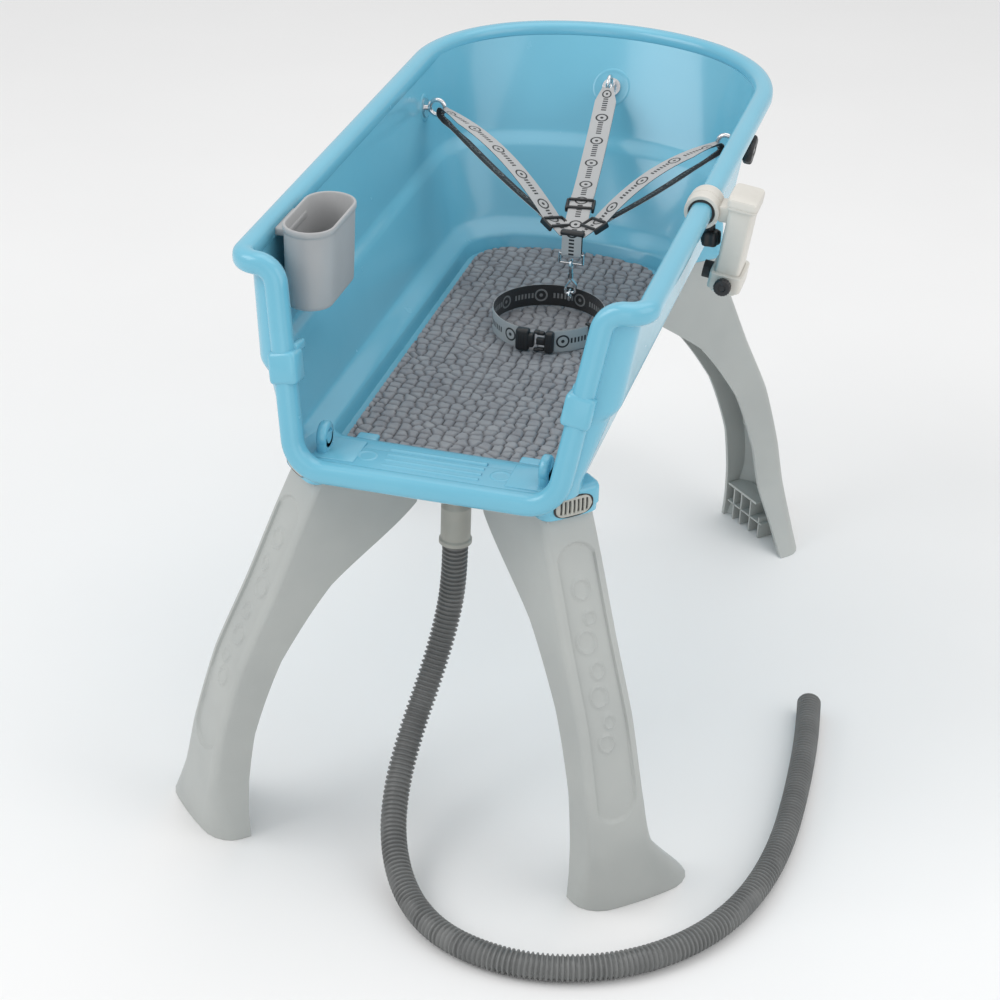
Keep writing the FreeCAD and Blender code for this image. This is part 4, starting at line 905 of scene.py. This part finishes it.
def sunk(q, z):
    """How deep the long panel is sunk, and how far its bubbles stand up, at a point."""
    low, high, half = 108, 372, 23
    along = np.clip(z, low + half, high - half)
    from_line = np.hypot(q - 121, z - along) - half
    depth = 3.0 * np.clip(0.5 - from_line / 2, 0, 1)
    for at_q, at_z, radius in BUBBLES:
        ring = abs(np.hypot(q - at_q, z - at_z) - radius)
        depth -= 1.8 * np.exp(-(ring / 1.4) ** 2)
    return depth


def leg_section(z, side, end):
    """One level of a leg: round the outside, then back inside the channel."""
    _, face, free, right_side, cut = leg_row(z)
    left, wall = LEG_LEFT, LEG_WALL
    shoulder = face - cut * 0.8
    turn = np.linspace(0, math.pi / 2, 6)
    left_side = [(s, left) for s in np.linspace(free, shoulder, 7)[:-1]]
    left_arc = [(shoulder + cut * 0.8 * math.sin(t), left + cut * (1 - math.cos(t))) for t in turn]
    across = np.linspace(left + cut, right_side - cut, FACE_STEPS)[1:-1]
    crown = 1.2 * (1 - ((across - across.mean()) / (across[-1] - across[0]) * 2) ** 2)
    front_face = [(face - sunk(q, z) + c, q) for q, c in zip(across, crown)]
    right_arc = [(s, left + right_side - q) for s, q in left_arc[::-1]]
    right_wall = [(s, right_side) for s in np.linspace(free, shoulder, 7)[:-1][::-1]]
    outer = left_side + left_arc + front_face + right_arc + right_wall
    inner_left, inner_right, inner_face = left + wall, right_side - wall, face - wall - 1.5
    inside = [(free, inner_right), (inner_face - cut * 0.8, inner_right), (inner_face, inner_right - cut),
              (inner_face, inner_left + cut), (inner_face - cut * 0.8, inner_left), (free, inner_left)]
    return np.array([diagonal(s, q, z, side, end) for s, q in outer + inside])


def leg_shell(side, end):
    """The channel of a leg, from the floor to the tub."""
    heights = np.concatenate([np.linspace(0.3, 100, 30), np.linspace(100, 398, 170)[1:]])
    rings = [leg_section(z, side, end) for z in heights]
    return np.vstack(rings), skin_faces(len(rings), len(rings[0]))


def plate(corners, thick, way):
    """A flat plate: a polygon carried by its thickness along a direction."""
    corners = np.array(corners, float)
    count = len(corners)
    points = np.vstack([corners - np.array(way) * thick / 2, corners + np.array(way) * thick / 2])
    return points, skin_faces(2, count)


def leg_ribs(side, end):
    """Inside the channel: one long rib, the foot's shelf, and the cells of the foot."""
    turn = diagonal_turn(side, end)
    across = turn[:, 1]
    heights = np.linspace(52, 384, 60)
    rows = [leg_row(z) for z in heights]
    edge = [diagonal(row[1] - LEG_WALL, 132, row[0], side, end) for row in rows]
    edge += [diagonal(max(row[1] - 20, row[2] + 4), 132, row[0], side, end) for row in rows[::-1]]
    parts = [plate(edge, 2.6, across)]
    shelf = [diagonal(s, q, 46, side, end) for s, q in ((153, 96), (180, 96), (180, 158), (153, 158))]
    parts.append(plate(shelf, 3, Z_WAY))
    for q, top in ((110, 45), (126, 45), (146, 45), (166, 30)):
        cell = [diagonal(s, q, z, side, end) for s, z in ((153, 0.5), (181, 0.5), (181, top), (153, top))]
        parts.append(plate(cell, 2.2, across))
    low = [diagonal(s, q, 22, side, end) for s, q in ((153, 97), (180, 97), (180, 172), (153, 172))]
    parts.append(plate(low, 2, Z_WAY))
    cap = [diagonal(s, q, 397, side, end) for s, q in ((-46, 92), (67, 92), (67, 148), (-46, 148))]
    parts.append(plate(cap, 2.5, Z_WAY))
    tongue_marks = ((98, 396), (142, 396), (140, 420), (100, 420))
    tongue = [diagonal(65, q, z, side, end) for q, z in tongue_marks]
    parts.append(plate(tongue, 7, turn[:, 0]))
    for q in (97, 143):
        notch_at = diagonal(70.5, q, 394, side, end)
        parts.append(rounded_block((3, 3, 5), notch_at, 0.8, turn))
    return join(*parts)


for name, corner in CORNERS.items():
    shape = join(leg_shell(*corner), leg_ribs(*corner))
    leg = piece("leg_" + name, shape, "tub", "leg_plastic", ["leg_" + name], 42)
print("leg", len(leg.data.polygons), "faces each")

# %% [markdown]
# ### Screw bosses
# Down the channel of every leg stand hollow bosses with three small gussets each. They are
# all alike, so one boss is drawn once and a node tree puts it at each marked point.

# %% Bosses
BOSS_HEIGHTS = (330, 270, 205, 140)


def boss_mesh(side, end):
    """One boss in metres about the origin, pointing in from the leg's face."""
    turn = diagonal_turn(side, end)
    section = [(0.01, 0), (5, 0), (4.6, 15), (2.4, 15), (2.2, 8), (0.01, 8)]
    parts = [turned(section, 18, (0, 0, 0), -turn[:, 0])]
    for angle in (0.5, 2.6, 4.4):
        way = turn[:, 1] * math.cos(angle) + Z_WAY * math.sin(angle)
        fin = [way * 4, way * 12, way * 4 - turn[:, 0] * 13]
        parts.append(plate(fin, 1.6, unit(np.cross(way, turn[:, 0]))))
    points, faces = join(*parts)
    mesh = bpy.data.meshes.new("boss")
    mesh.from_pydata((points / 1000).tolist(), [], faces)
    outward_faces(mesh)
    holder = bpy.data.objects.new("boss", mesh)
    scene.collection.objects.link(holder)
    return holder


for name, (side, end) in CORNERS.items():
    boss = boss_mesh(side, end)
    tree, given = new_tree("bosses_" + name, Size=1.0)
    boss_shape = add(tree, "GeometryNodeObjectInfo", [], 4, Object=boss)
    spots = add(tree, "GeometryNodeInstanceOnPoints",
                [("Points", given["Geometry"]), ("Instance", boss_shape), ("Scale", given["Size"])])
    end_tree(tree, spots, FINISHES["leg_plastic"])
    marks = [diagonal(leg_row(z)[1] - LEG_WALL - 1, 110, z, side, end) for z in BOSS_HEIGHTS]
    grow("leg_bosses_" + name, tree, point_mesh("boss_points", marks), "tub", "leg_plastic")
    bpy.data.objects.remove(boss)

# %% [markdown]
# ### Release buttons
# A leg comes off when its oval button is pressed. The button has upright slots for grip and
# sits in a shadowed gap, so the slots are cut into the shape and not only drawn on it. The
# shade in that gap is painted: a black plate just proud of the skirt round each button.

# %% Buttons
def button_part(side, end):
    """An oval cap whose front is grooved; its rows run across, its columns up."""
    columns, rows, half_long, half_high = 97, 25, 20.3, 9.8
    q = np.linspace(-1, 1, columns)
    face = []
    for h in np.linspace(-1, 1, rows):
        across = q * half_long
        round_end = np.clip((abs(across) - (half_long - half_high)) / half_high, 0, 1)
        reach = half_high * np.sqrt(np.clip(1 - round_end ** 2, 0.0009, 1))
        slot_at = np.abs((across + 2.4) % 4.8 - 2.4)
        inside = (abs(across) < 15.5) & (abs(h) < 0.72)
        groove = 2.6 * np.clip((1.25 - slot_at) / 0.35, 0, 1) * inside * np.clip((0.72 - abs(h)) / 0.08, 0, 1)
        crown = 1.4 * (1 - (across / half_long) ** 2 * 0.6 - h ** 2 * 0.8)
        face.append(np.stack([80.6 + crown - groove, 120 + across, 412 + h * reach], 1))
    face = np.vstack(face)
    count = len(face)
    back = face.copy()
    back[:, 0] = 75.2
    faces = grid_faces(rows, columns)
    border = grid_border(rows, columns)
    faces += [[a, b, count + b, count + a] for a, b in zip(border, border[1:] + border[:1])]
    faces += [[count + i for i in f][::-1] for f in grid_faces(rows, columns)]
    points = np.vstack([face, back])
    return np.array([diagonal(s, q_, z, side, end) for s, q_, z in points]), faces


def button_shade_plate(side, end):
    """Painted shade for the gap round a button: a black flat oval just proud of the tub's skirt."""
    oval = [(a, b) for a, b in rounded_outline(22.2, 11.6, 2.6, 48)]
    plate_points = [diagonal(79.8, 120 + a, 412 + b, side, end) for a, b in oval]
    return plate(plate_points, 0.7, diagonal_turn(side, end)[:, 0])


for name, corner in CORNERS.items():
    piece("leg_button_" + name, button_part(*corner), "button_" + name, "button_plastic",
          ["leg_button_" + name], 30)
    # painted shade: a black plate stands for the shadowed gap round each button
    piece("button_gap_" + name, button_shade_plate(*corner), "tub", "black_rubber")
print("buttons", len(CORNERS))

# %% [markdown]
# ## Webbing
# The harness is woven strap: pale and printed on its face, black on its back. A texture
# picture could carry the print, but a pattern worked out from distances along and across
# the strap stays sharp at any size, so every strap keeps those two distances on its points.

# %% Webbing finish
PRINT_REPEAT, WEAVE = 0.046, 0.0013


def webbing_finish():
    """Woven strap with a printed face, worked out from the stored distances."""
    material = bpy.data.materials.new("harness_webbing")
    nodes, links, shader = tree_of(material)
    cloth = nodes.new("ShaderNodeAttribute")
    cloth.attribute_name = "cloth"
    split = nodes.new("ShaderNodeSeparateXYZ")
    links.new(cloth.outputs["Vector"], split.inputs[0])
    along, across, face = split.outputs

    def calc(operation, *values):
        """One sum, with numbers or other nodes' results."""
        node = nodes.new("ShaderNodeMath")
        node.operation = operation
        for socket, value in zip(node.inputs, values):
            if isinstance(value, (int, float)):
                socket.default_value = value
            else:
                links.new(value, socket)
        return node.outputs[0]

    repeat = calc("MODULO", calc("ADD", along, 5 * PRINT_REPEAT), PRINT_REPEAT)
    place = calc("SUBTRACT", repeat, PRINT_REPEAT / 2)
    from_ring = calc("SUBTRACT", calc("SQRT", calc("ADD", calc("POWER", calc("ADD", place, 0.012), 2.0),
                                                   calc("POWER", across, 2.0))), 0.0065)
    ring = calc("LESS_THAN", calc("ABSOLUTE", from_ring), 0.0010)
    dot = calc("LESS_THAN", from_ring, -0.0045)
    in_bar = calc("LESS_THAN", calc("ABSOLUTE", calc("SUBTRACT", place, 0.0085)), 0.0125)
    tick = calc("SUBTRACT", calc("FRACT", calc("DIVIDE", place, 0.0042)), 0.5)
    dash = calc("LESS_THAN", calc("ABSOLUTE", tick), 0.27)
    in_height = calc("LESS_THAN", calc("ABSOLUTE", across), 0.0030)
    bar = calc("MULTIPLY", calc("MULTIPLY", in_bar, dash), in_height)
    printed = calc("MINIMUM", calc("ADD", calc("ADD", ring, dot), bar), 1.0)
    back = calc("LESS_THAN", face, 0.0)
    dark = calc("ADD", calc("MULTIPLY", printed, calc("SUBTRACT", 1.0, back)),
                calc("MULTIPLY", back, calc("SUBTRACT", 1.0, calc("MULTIPLY", printed, 0.45))))
    colour = ramp(nodes, links, dark, [(0.0, (0.50, 0.50, 0.50)), (1.0, (0.018, 0.018, 0.02))])
    links.new(colour, shader.inputs["Base Color"])
    warp = calc("SINE", calc("MULTIPLY", across, 2 * math.pi / WEAVE))
    weft = calc("SINE", calc("MULTIPLY", along, 2 * math.pi / WEAVE))
    threads = calc("MULTIPLY", warp, weft)
    gloss = spread(nodes, links, calc("MULTIPLY_ADD", threads, 0.5, 0.5), 0.6, 0.85)
    links.new(gloss, shader.inputs["Roughness"])
    bump(nodes, links, shader, threads, 0.6, 0.0003)
    shader.inputs["Sheen Weight"].default_value = 0.15
    return material


FINISHES["webbing"] = webbing_finish()

# %% Strap helper
STRAP_WIDE, STRAP_THICK = 25, 1.7


def strap(name, path, across, body, stands_for=(), width=STRAP_WIDE, squeeze=None, start=0.0, face=1):
    """A woven strap along a path, with its distances kept for the print; squeeze narrows it."""
    path, across = np.asarray(path, float), np.asarray(across, float)
    ahead = unit(np.gradient(path, axis=0))
    wide = np.broadcast_to(across, path.shape)
    wide = unit(wide - (wide * ahead).sum(1)[:, None] * ahead)
    top = np.cross(ahead, wide) * face
    share = np.ones(len(path)) if squeeze is None else np.asarray(squeeze, float)
    marks = np.concatenate([np.linspace(-1, 1, 9), np.linspace(1, -1, 9)])
    level = np.concatenate([np.ones(9), -np.ones(9)])
    edge = 1 - 0.5 * (abs(marks) > 0.99)
    half = width / 2 * marks
    fold = (1 - share)[:, None] * 5.0 * (marks ** 2)[None]
    points = (path[:, None] + wide[:, None] * (half[None, :, None] * share[:, None, None])
              + top[:, None] * ((level * edge * STRAP_THICK / 2)[None, :, None] + fold[..., None]))
    run = np.concatenate([[0], np.cumsum(np.linalg.norm(np.diff(path, axis=0), axis=1))]) + start
    count = len(marks)
    shape = points.reshape(-1, 3), skin_faces(len(path), count)
    made = piece(name, shape, body, "webbing", stands_for, 50)
    cloth = made.data.attributes.new("cloth", "FLOAT_VECTOR", "POINT")
    sides = np.tile(level, len(path)) * 1000
    stored = np.stack([np.repeat(run, count), np.tile(half, len(path)), sides], 1) / 1000
    cloth.data.foreach_set("vector", stored.astype("f").ravel())
    return made


def arc_between(start, end, bow, up, count):
    """Points of a shallow arc, bowed at its middle."""
    t = np.linspace(0, 1, count)[:, None]
    return start + (end - start) * t + up * bow * 4 * t * (1 - t)


# %% [markdown]
# ### Harness straps
# Each side strap is one length: it leaves its slide adjuster, is drawn narrow through the
# eye bolt, and comes back over itself in a higher arch. The back strap is a flat pair.

# %% Straps and adjusters
MEETING = np.array([33.0, 448, 504])
EYE_REACH = 2 + 9 + 2.6 + 2
SIDE_BOW = {"left": 17, "right": 15}
# the upper run faces SHOWN; the lower run lies nearly on edge, along VIEWED
SHOWN, VIEWED = unit([0, 0.25, 1]), unit([0.22, -0.86, 0.46])


def side_strap(name):
    """One strap out to its eye bolt and back over itself."""
    point, way = ANCHORS[name]
    eye = point + way * EYE_REACH
    ahead = unit(MEETING - eye)
    up = unit(np.cross(np.cross(ahead, Z_WAY), ahead))
    wire = eye + ahead * 9
    near = MEETING - ahead * 38
    low = arc_between(near - up * 0.3, wire + ahead * 4 - up * 3.8, -4, up, 40)
    high = arc_between(wire + ahead * 4 + up * 3.8, near + up * 2.2, SIDE_BOW[name], up, 46)
    turn = np.linspace(-math.pi / 2, -3 * math.pi / 2, 9)[1:-1]
    loop = np.array([wire + ahead * (4 * math.cos(t) * 0.9 + 3) * 0.9 + up * 3.8 * math.sin(t) for t in turn])
    path = even(np.vstack([low, loop, high]), 2.2)
    gap = np.linalg.norm(path - wire, axis=1)
    across = unit(np.cross(ahead, SHOWN))
    face = 1 if np.cross(ahead, across)[2] > 0 else -1
    squeeze = np.clip(0.42 + (gap - 6) / 70, 0.42, 1)
    on_edge = across + VIEWED * math.copysign(1, across @ VIEWED)
    share = np.clip((np.arange(len(path)) - len(path) * 0.42) / 8, 0, 1)[:, None]
    wide = unit(on_edge * (1 - share) + across * share)
    strap("harness_" + name, path, wide, "tub", ["strap_" + name], squeeze=squeeze, face=face)
    return ahead, across


def slide_adjuster(name, ahead, across, near, far):
    """A black frame of two rails and three bars, with the strap over its middle bar."""
    across = unit(across - ahead * (across @ ahead))
    top = np.cross(ahead, across)
    top = top if top[2] > 0 else -top
    turn = np.stack([ahead, across, top], 1)
    middle = MEETING - ahead * (near + far) / 2
    parts = [rounded_block((near - far + 1, 3.4, 7.0), middle + across * side * 14.8 + top, 1.5, turn)
             for side in (-1, 1)]
    parts += [rounded_block((3.4, 28, 2.6), middle + ahead * at + top * lift, 1.1, turn)
              for at, lift in ((-7.6, 4.2), (0, -1.4), (7.6, 4.2))]
    piece("adjuster_" + name, join(*parts), "tub", "black_plastic", ["slide_adjuster_" + name], 40)
    tail = arc_between(MEETING - ahead * (near + 10), MEETING - ahead * 9, 0.6, top, 24) + top * 1.5
    strap("harness_end_" + name, tail, across, "tub", face=1 if top @ np.cross(ahead, across) > 0 else -1)


for name in ("left", "right"):
    slide_adjuster(name, *side_strap(name), 40, 22)
back_eye = ANCHORS["back"][0] + ANCHORS["back"][1] * EYE_REACH
back_ahead = unit(MEETING - back_eye)
back_up = unit(np.cross(np.cross(back_ahead, Z_WAY), back_ahead))
run = arc_between(back_eye + back_ahead * 12, MEETING - back_ahead * 70, -6, back_up, 60)
narrow = np.clip(0.5 + np.linspace(0, 1, 60) * 5, 0.5, 1)
strap("harness_back", run + back_up * 1.0, X_WAY, "tub", ["strap_back"], squeeze=narrow, face=1)
strap("harness_back_under", run - back_up * 1.1, X_WAY, "tub", squeeze=narrow, face=1)
slide_adjuster("back", back_ahead, X_WAY, 74, 56)
lead = arc_between(MEETING - back_ahead * 58, MEETING - back_ahead * 7, -1.5, back_up, 26) + back_up * 1.5
strap("harness_lead", lead, X_WAY, "tub", start=20.0, face=1)

# %% [markdown]
# ### Centre tab, collar and buckle
# The three straps are sewn into one short tab, which is folded round the steel ring. The
# collar hangs from the hook below it and stands on the mat; its buckle opens at the sides.

# %% Tab and collar
t = np.linspace(-math.pi, 0, 11)
fold = [(33, 448 + 2.9 * math.cos(a), 488.4 + 2.9 * math.sin(a)) for a in t]
tab_path = ([(33, 448 - 2.9, z) for z in np.linspace(514, 489, 12)] + fold[1:-1]
            + [(33, 448 + 2.9, z) for z in np.linspace(489, 514, 12)])
strap("centre_tab_fold", tab_path, X_WAY, "tub", ["centre_tab"], width=22, start=13.0, face=1)
piece("centre_joiner", rounded_block((27, 8.5, 6), (33, 448, 513), 2.6), "tub", "black_plastic", sharp=45)

COLLAR_AT, COLLAR_OUT, COLLAR_LOW, COLLAR_HIGH = np.array([22.0, 397]), 62, 419.6, 444.6
gap = math.asin(19.5 / COLLAR_OUT)
middle_z = (COLLAR_LOW + COLLAR_HIGH) / 2


def collar_arc(inset, first, last, count):
    """Points round the collar, so far inside its outer face."""
    t = np.linspace(first, last, count)
    radius = COLLAR_OUT - inset
    return np.stack([COLLAR_AT[0] + radius * np.cos(t), COLLAR_AT[1] + radius * np.sin(t),
                     np.full(count, middle_z)], 1)


opening = -math.pi / 2 + gap
collar_path = collar_arc(1.2, opening, 3 * math.pi / 2 - gap, 150)
strap("collar_webbing", collar_path, Z_WAY, "collar", ["collar_strap"], width=24.6, face=1)
over = collar_arc(3.1, opening, opening + 1.15, 34)
strap("collar_tail", over, Z_WAY, "collar", width=24.2, start=30.0, face=1)
cosine, sine = math.cos(opening + 0.72), math.sin(opening + 0.72)
around = np.array([[cosine, -sine, 0], [sine, cosine, 0], [0, 0, 1]])
keeper_mid = np.array([*(COLLAR_AT + (COLLAR_OUT - 2.2) * np.array([cosine, sine])), middle_z])
keeper = [rounded_block((6.6, 5, 3), keeper_mid + Z_WAY * side * 13.0, 1.2, around) for side in (-1, 1)]
keeper += [rounded_block((2, 5, 27), keeper_mid + around[:, 0] * 3.0, 0.9, around)]
piece("collar_keeper", join(*keeper), "collar", "black_plastic", sharp=45)

# %% Buckle
BUCKLE_Y = COLLAR_AT[1] - COLLAR_OUT + 1.2


def buckle_socket():
    """The hollow half: a rounded body, open at its sides, with three grip ridges."""
    at = np.array([11.0, BUCKLE_Y, middle_z])
    parts = [rounded_block((15, 10.4, 24.8), at + [-2.2, 0, 0], 3.0, segments=4),
             rounded_block((8, 9.0, 16), at + [6.6, 0, 0], 2.4)]
    parts += [rounded_block((1.4, 11.0, 15), at + [dx, 0, 0], 0.6) for dx in (-6.5, -3.6, -0.7)]
    return join(*parts)


def buckle_plug():
    """The half with the two springing prongs, which show at both sides of the socket."""
    at = np.array([33.0, BUCKLE_Y, middle_z])
    parts = [rounded_block((10, 9.6, 24.4), at + [5.2, 0, 0], 2.8, segments=4),
             rounded_block((10, 6.0, 8), at + [-4, 0, 0], 1.5)]
    for side in (-1, 1):
        parts.append(rounded_block((9, 5.6, 4.2), at + [-4.4, 0, side * 9.4], 1.8))
        parts.append(rounded_block((6.5, 6.4, 3.4), at + [-8.6, 0, side * 10.4], 1.5))
    parts += [rounded_block((1.4, 10.2, 17), at + [dx, 0, 0], 0.6) for dx in (3.5, 6.3)]
    return join(*parts)


piece("buckle_socket_shell", buckle_socket(), "collar", "black_plastic", ["buckle_socket"], 40)
piece("buckle_plug_shell", buckle_plug(), "collar", "black_plastic", ["buckle_plug"], 40)
print("collar", round(float(np.ptp(collar_path[:, 0]))), "across")

# %% [markdown]
# ## Star knobs
# Outside the tub each eye bolt is drawn tight by a six-lobed knob. A turned section whose
# radius swells six times a turn gives soft lobes that a union of cylinders would not.

# %% Star knobs
def star_knob(name):
    """A six-lobed knob on the outside of the wall."""
    point, way = ANCHORS[name]
    slant = 4 * (math.hypot(way[0], way[1]) + abs(way[2]))
    at = point - way * (slant + 0.3 + 14)
    outline = [(0.02, 1.2), (5.5, 1.2), (6.5, 0.4), (12.6, 0.3), (14.6, 0.9), (15.7, 2.6), (15.9, 5),
               (15.9, 8.6), (15.0, 10.4), (12.5, 11.2), (8, 11.5), (7.5, 13.8), (3.4, 13.8), (3.4, 12)]
    return turned(outline, 96, at, way, 6, 0.12)


for name in ("left", "right", "back"):
    piece("star_grip_" + name, star_knob(name), "star_" + name, "black_plastic", ["star_knob_" + name], 40)

# %% [markdown]
# ## Caddy
# The bottle holder is an oblong cup moulded in warm grey, a little narrower at its foot so
# that it leaves its mould. It hangs by a tongue that rests on the rolled rim.

# %% Caddy
CADDY_AT, CADDY_LOW = np.array([-151.0, 134]), 551


def stadium(half_long, radius, count=16):
    """A round-ended oblong: straight sides along y, half circles at its ends."""
    t = np.linspace(0, math.pi, count)
    run = half_long - radius
    one = np.stack([radius * np.cos(t), run + radius * np.sin(t)], 1)
    sides = np.linspace(run, -run, 9)[1:-1]
    left = np.stack([np.full(7, -radius), sides], 1)
    return np.vstack([one, left, -one, -left])


def caddy_cup():
    """The cup from its foot up, over its lip, and down inside."""
    rows = [(0, 0.5, 5.5), (0, 1, 5.2), (0.6, 1, 3.2), (2.2, 1, 2.1), (5, 1, 1.7), (40, 1, 0.9),
            (76, 1, 0.35), (77.2, 1, 0.3), (78.2, 1, -0.3), (79.4, 1, -0.9), (83.2, 1, -0.9),
            (84.2, 1, -0.3), (84.5, 1, 0.8), (84.1, 1, 1.9), (83, 1, 2.6), (40, 1, 3.2), (8, 1, 4.2),
            (4.5, 1, 5.2), (3, 1, 7.5), (3, 0.5, 7.5)]
    rings = []
    for height, share, inset in rows:
        oval = stadium(56 - inset, 26 - inset) * share
        rings.append(np.column_stack([oval + CADDY_AT, np.full(len(oval), CADDY_LOW + height)]))
    return np.vstack(rings), skin_faces(len(rings), len(rings[0]))


tongue = rounded_block((16, 54, 9), (-181, 134, 620), 2.5)
piece("caddy_cup", join(caddy_cup(), tongue), "caddy", "caddy_plastic", ["caddy"], 32)
print("caddy cup and tongue")

# %% [markdown]
# ## Rim clamp and drop tube
# A split ring hugs the rolled rim on a dark liner. Its neck carries an oblong tube with a
# cap, a sliding collar and a thumb screw, for a shower head or a towel hook.

# %% Clamp
RIM_AT, CLAMP_Y, CLAMP_LONG = np.array([199.0, 619]), 313, 34
TUBE_LEAN = math.radians(8)
TUBE_TURN = np.array([[math.cos(TUBE_LEAN), 0, math.sin(TUBE_LEAN)], [0, 1, 0],
                      [-math.sin(TUBE_LEAN), 0, math.cos(TUBE_LEAN)]])
TUBE_TOP = np.array([240.0, 313, 627])


def split_ring(radius, thick, long, first, last):
    """Part of a ring round the rolled rim."""
    t = np.radians(np.linspace(first, last, 60))
    path = np.stack([RIM_AT[0] + radius * np.cos(t), np.full(60, CLAMP_Y),
                     RIM_AT[1] + radius * np.sin(t)], 1)
    away = np.stack([np.cos(t), np.zeros(60), np.sin(t)], 1)
    return sweep(path, away, rounded_outline(thick / 2, long / 2, 7, 32))


def on_tube(points):
    """Carries points from the tube's own axes, with their origin at its top, to the tub."""
    return np.asarray(points, float) @ TUBE_TURN.T + TUBE_TOP


def oblong_tube(levels, count=48):
    """Rings of (half x, half y, height, squareness) joined into one closed skin."""
    rings = [np.column_stack([rounded_outline(a, b, power, count), np.full(count, height)])
             for a, b, height, power in levels]
    return on_tube(np.vstack(rings)), skin_faces(len(rings), count)


ring_part = split_ring(15.8, 5, CLAMP_LONG, -70, 213)
ribs = [split_ring(18.2, 1.2, 3, -62, 205)]
neck = rounded_block((18, 27, 17), (224.5, 313, 618), 2.4)
piece("clamp_shell", join(ring_part, *ribs, neck), "tub", "clamp_plastic", ["clamp_ring", "clamp_neck"], 35)
tube = oblong_tube([(13, 22, 0, 8), (13, 22, -20, 8), (13, 22, -60, 8), (12.9, 21.9, -91.4, 8),
                    (12.4, 21.4, -92, 8), (10.8, 19.8, -92, 8), (10.5, 19.5, -91.4, 8),
                    (10.5, 19.5, -30, 8)])
piece("drop_tube_shell", tube, "tub", "clamp_plastic", ["drop_tube"], 35)
cap_top = oblong_tube([(14, 23, -0.5, 7), (15.6, 24.6, 0, 7), (16, 25, 1, 7), (16, 25, 2.4, 7),
                       (15.4, 24.4, 2.8, 7), (15.4, 24.4, 3.4, 7), (16, 25, 3.8, 7), (16, 25, 9.5, 7),
                       (14.8, 23.8, 11.5, 7), (12, 21, 12, 7)])
piece("drop_tube_cap", cap_top, "tub", "clamp_plastic", ["tube_cap"], 35)
collar_skin = oblong_tube([(13.3, 22.3, -88, 8), (16.4, 25.4, -88, 8), (17.3, 26.3, -87, 8),
                           (17.3, 26.3, -71, 8), (16.4, 25.4, -70, 8), (13.3, 22.3, -70, 8),
                           (13.3, 22.3, -88, 8)])
piece("tube_slider_shell", collar_skin, "slider", "clamp_plastic", ["tube_slider"], 35)

# %% Clamp knob and thumb screw
knob_section = [(0.02, 0), (7.5, 0), (9.3, 1.2), (9.8, 3), (9.8, 12), (9.0, 14.6), (7, 16), (4, 16),
                (4, 21.6), (0.02, 21.8)]
knob = turned(knob_section, 80, (207.5, 313, 579), Z_WAY, 5, 0.10)
wing = rounded_block((17.5, 4.4, 12), (207.5, 313, 586), 1.8)
piece("clamp_knob_grip", join(knob, wing), "clamp_knob", "black_plastic", ["clamp_knob"], 40)
slider_mid = on_tube([[0, 0, -79]])[0]
thumb_at = slider_mid - Y_WAY * (22 + 0.3 + 4 + 0.3)
thumb_section = [(0.02, 0.2), (3, 0.2), (3, 3.8), (7.6, 3.9), (8.7, 4.7), (8.75, 10.8), (7.9, 11.8),
                 (4, 11.9), (3.2, 10.9), (0.02, 10.9)]
thumb = turned(thumb_section, 108, thumb_at, -Y_WAY, 18, 0.028)
piece("thumb_grip", thumb, "thumb_screw", "black_plastic", ["thumb_screw"], 40)
print("knob and thumb screw")
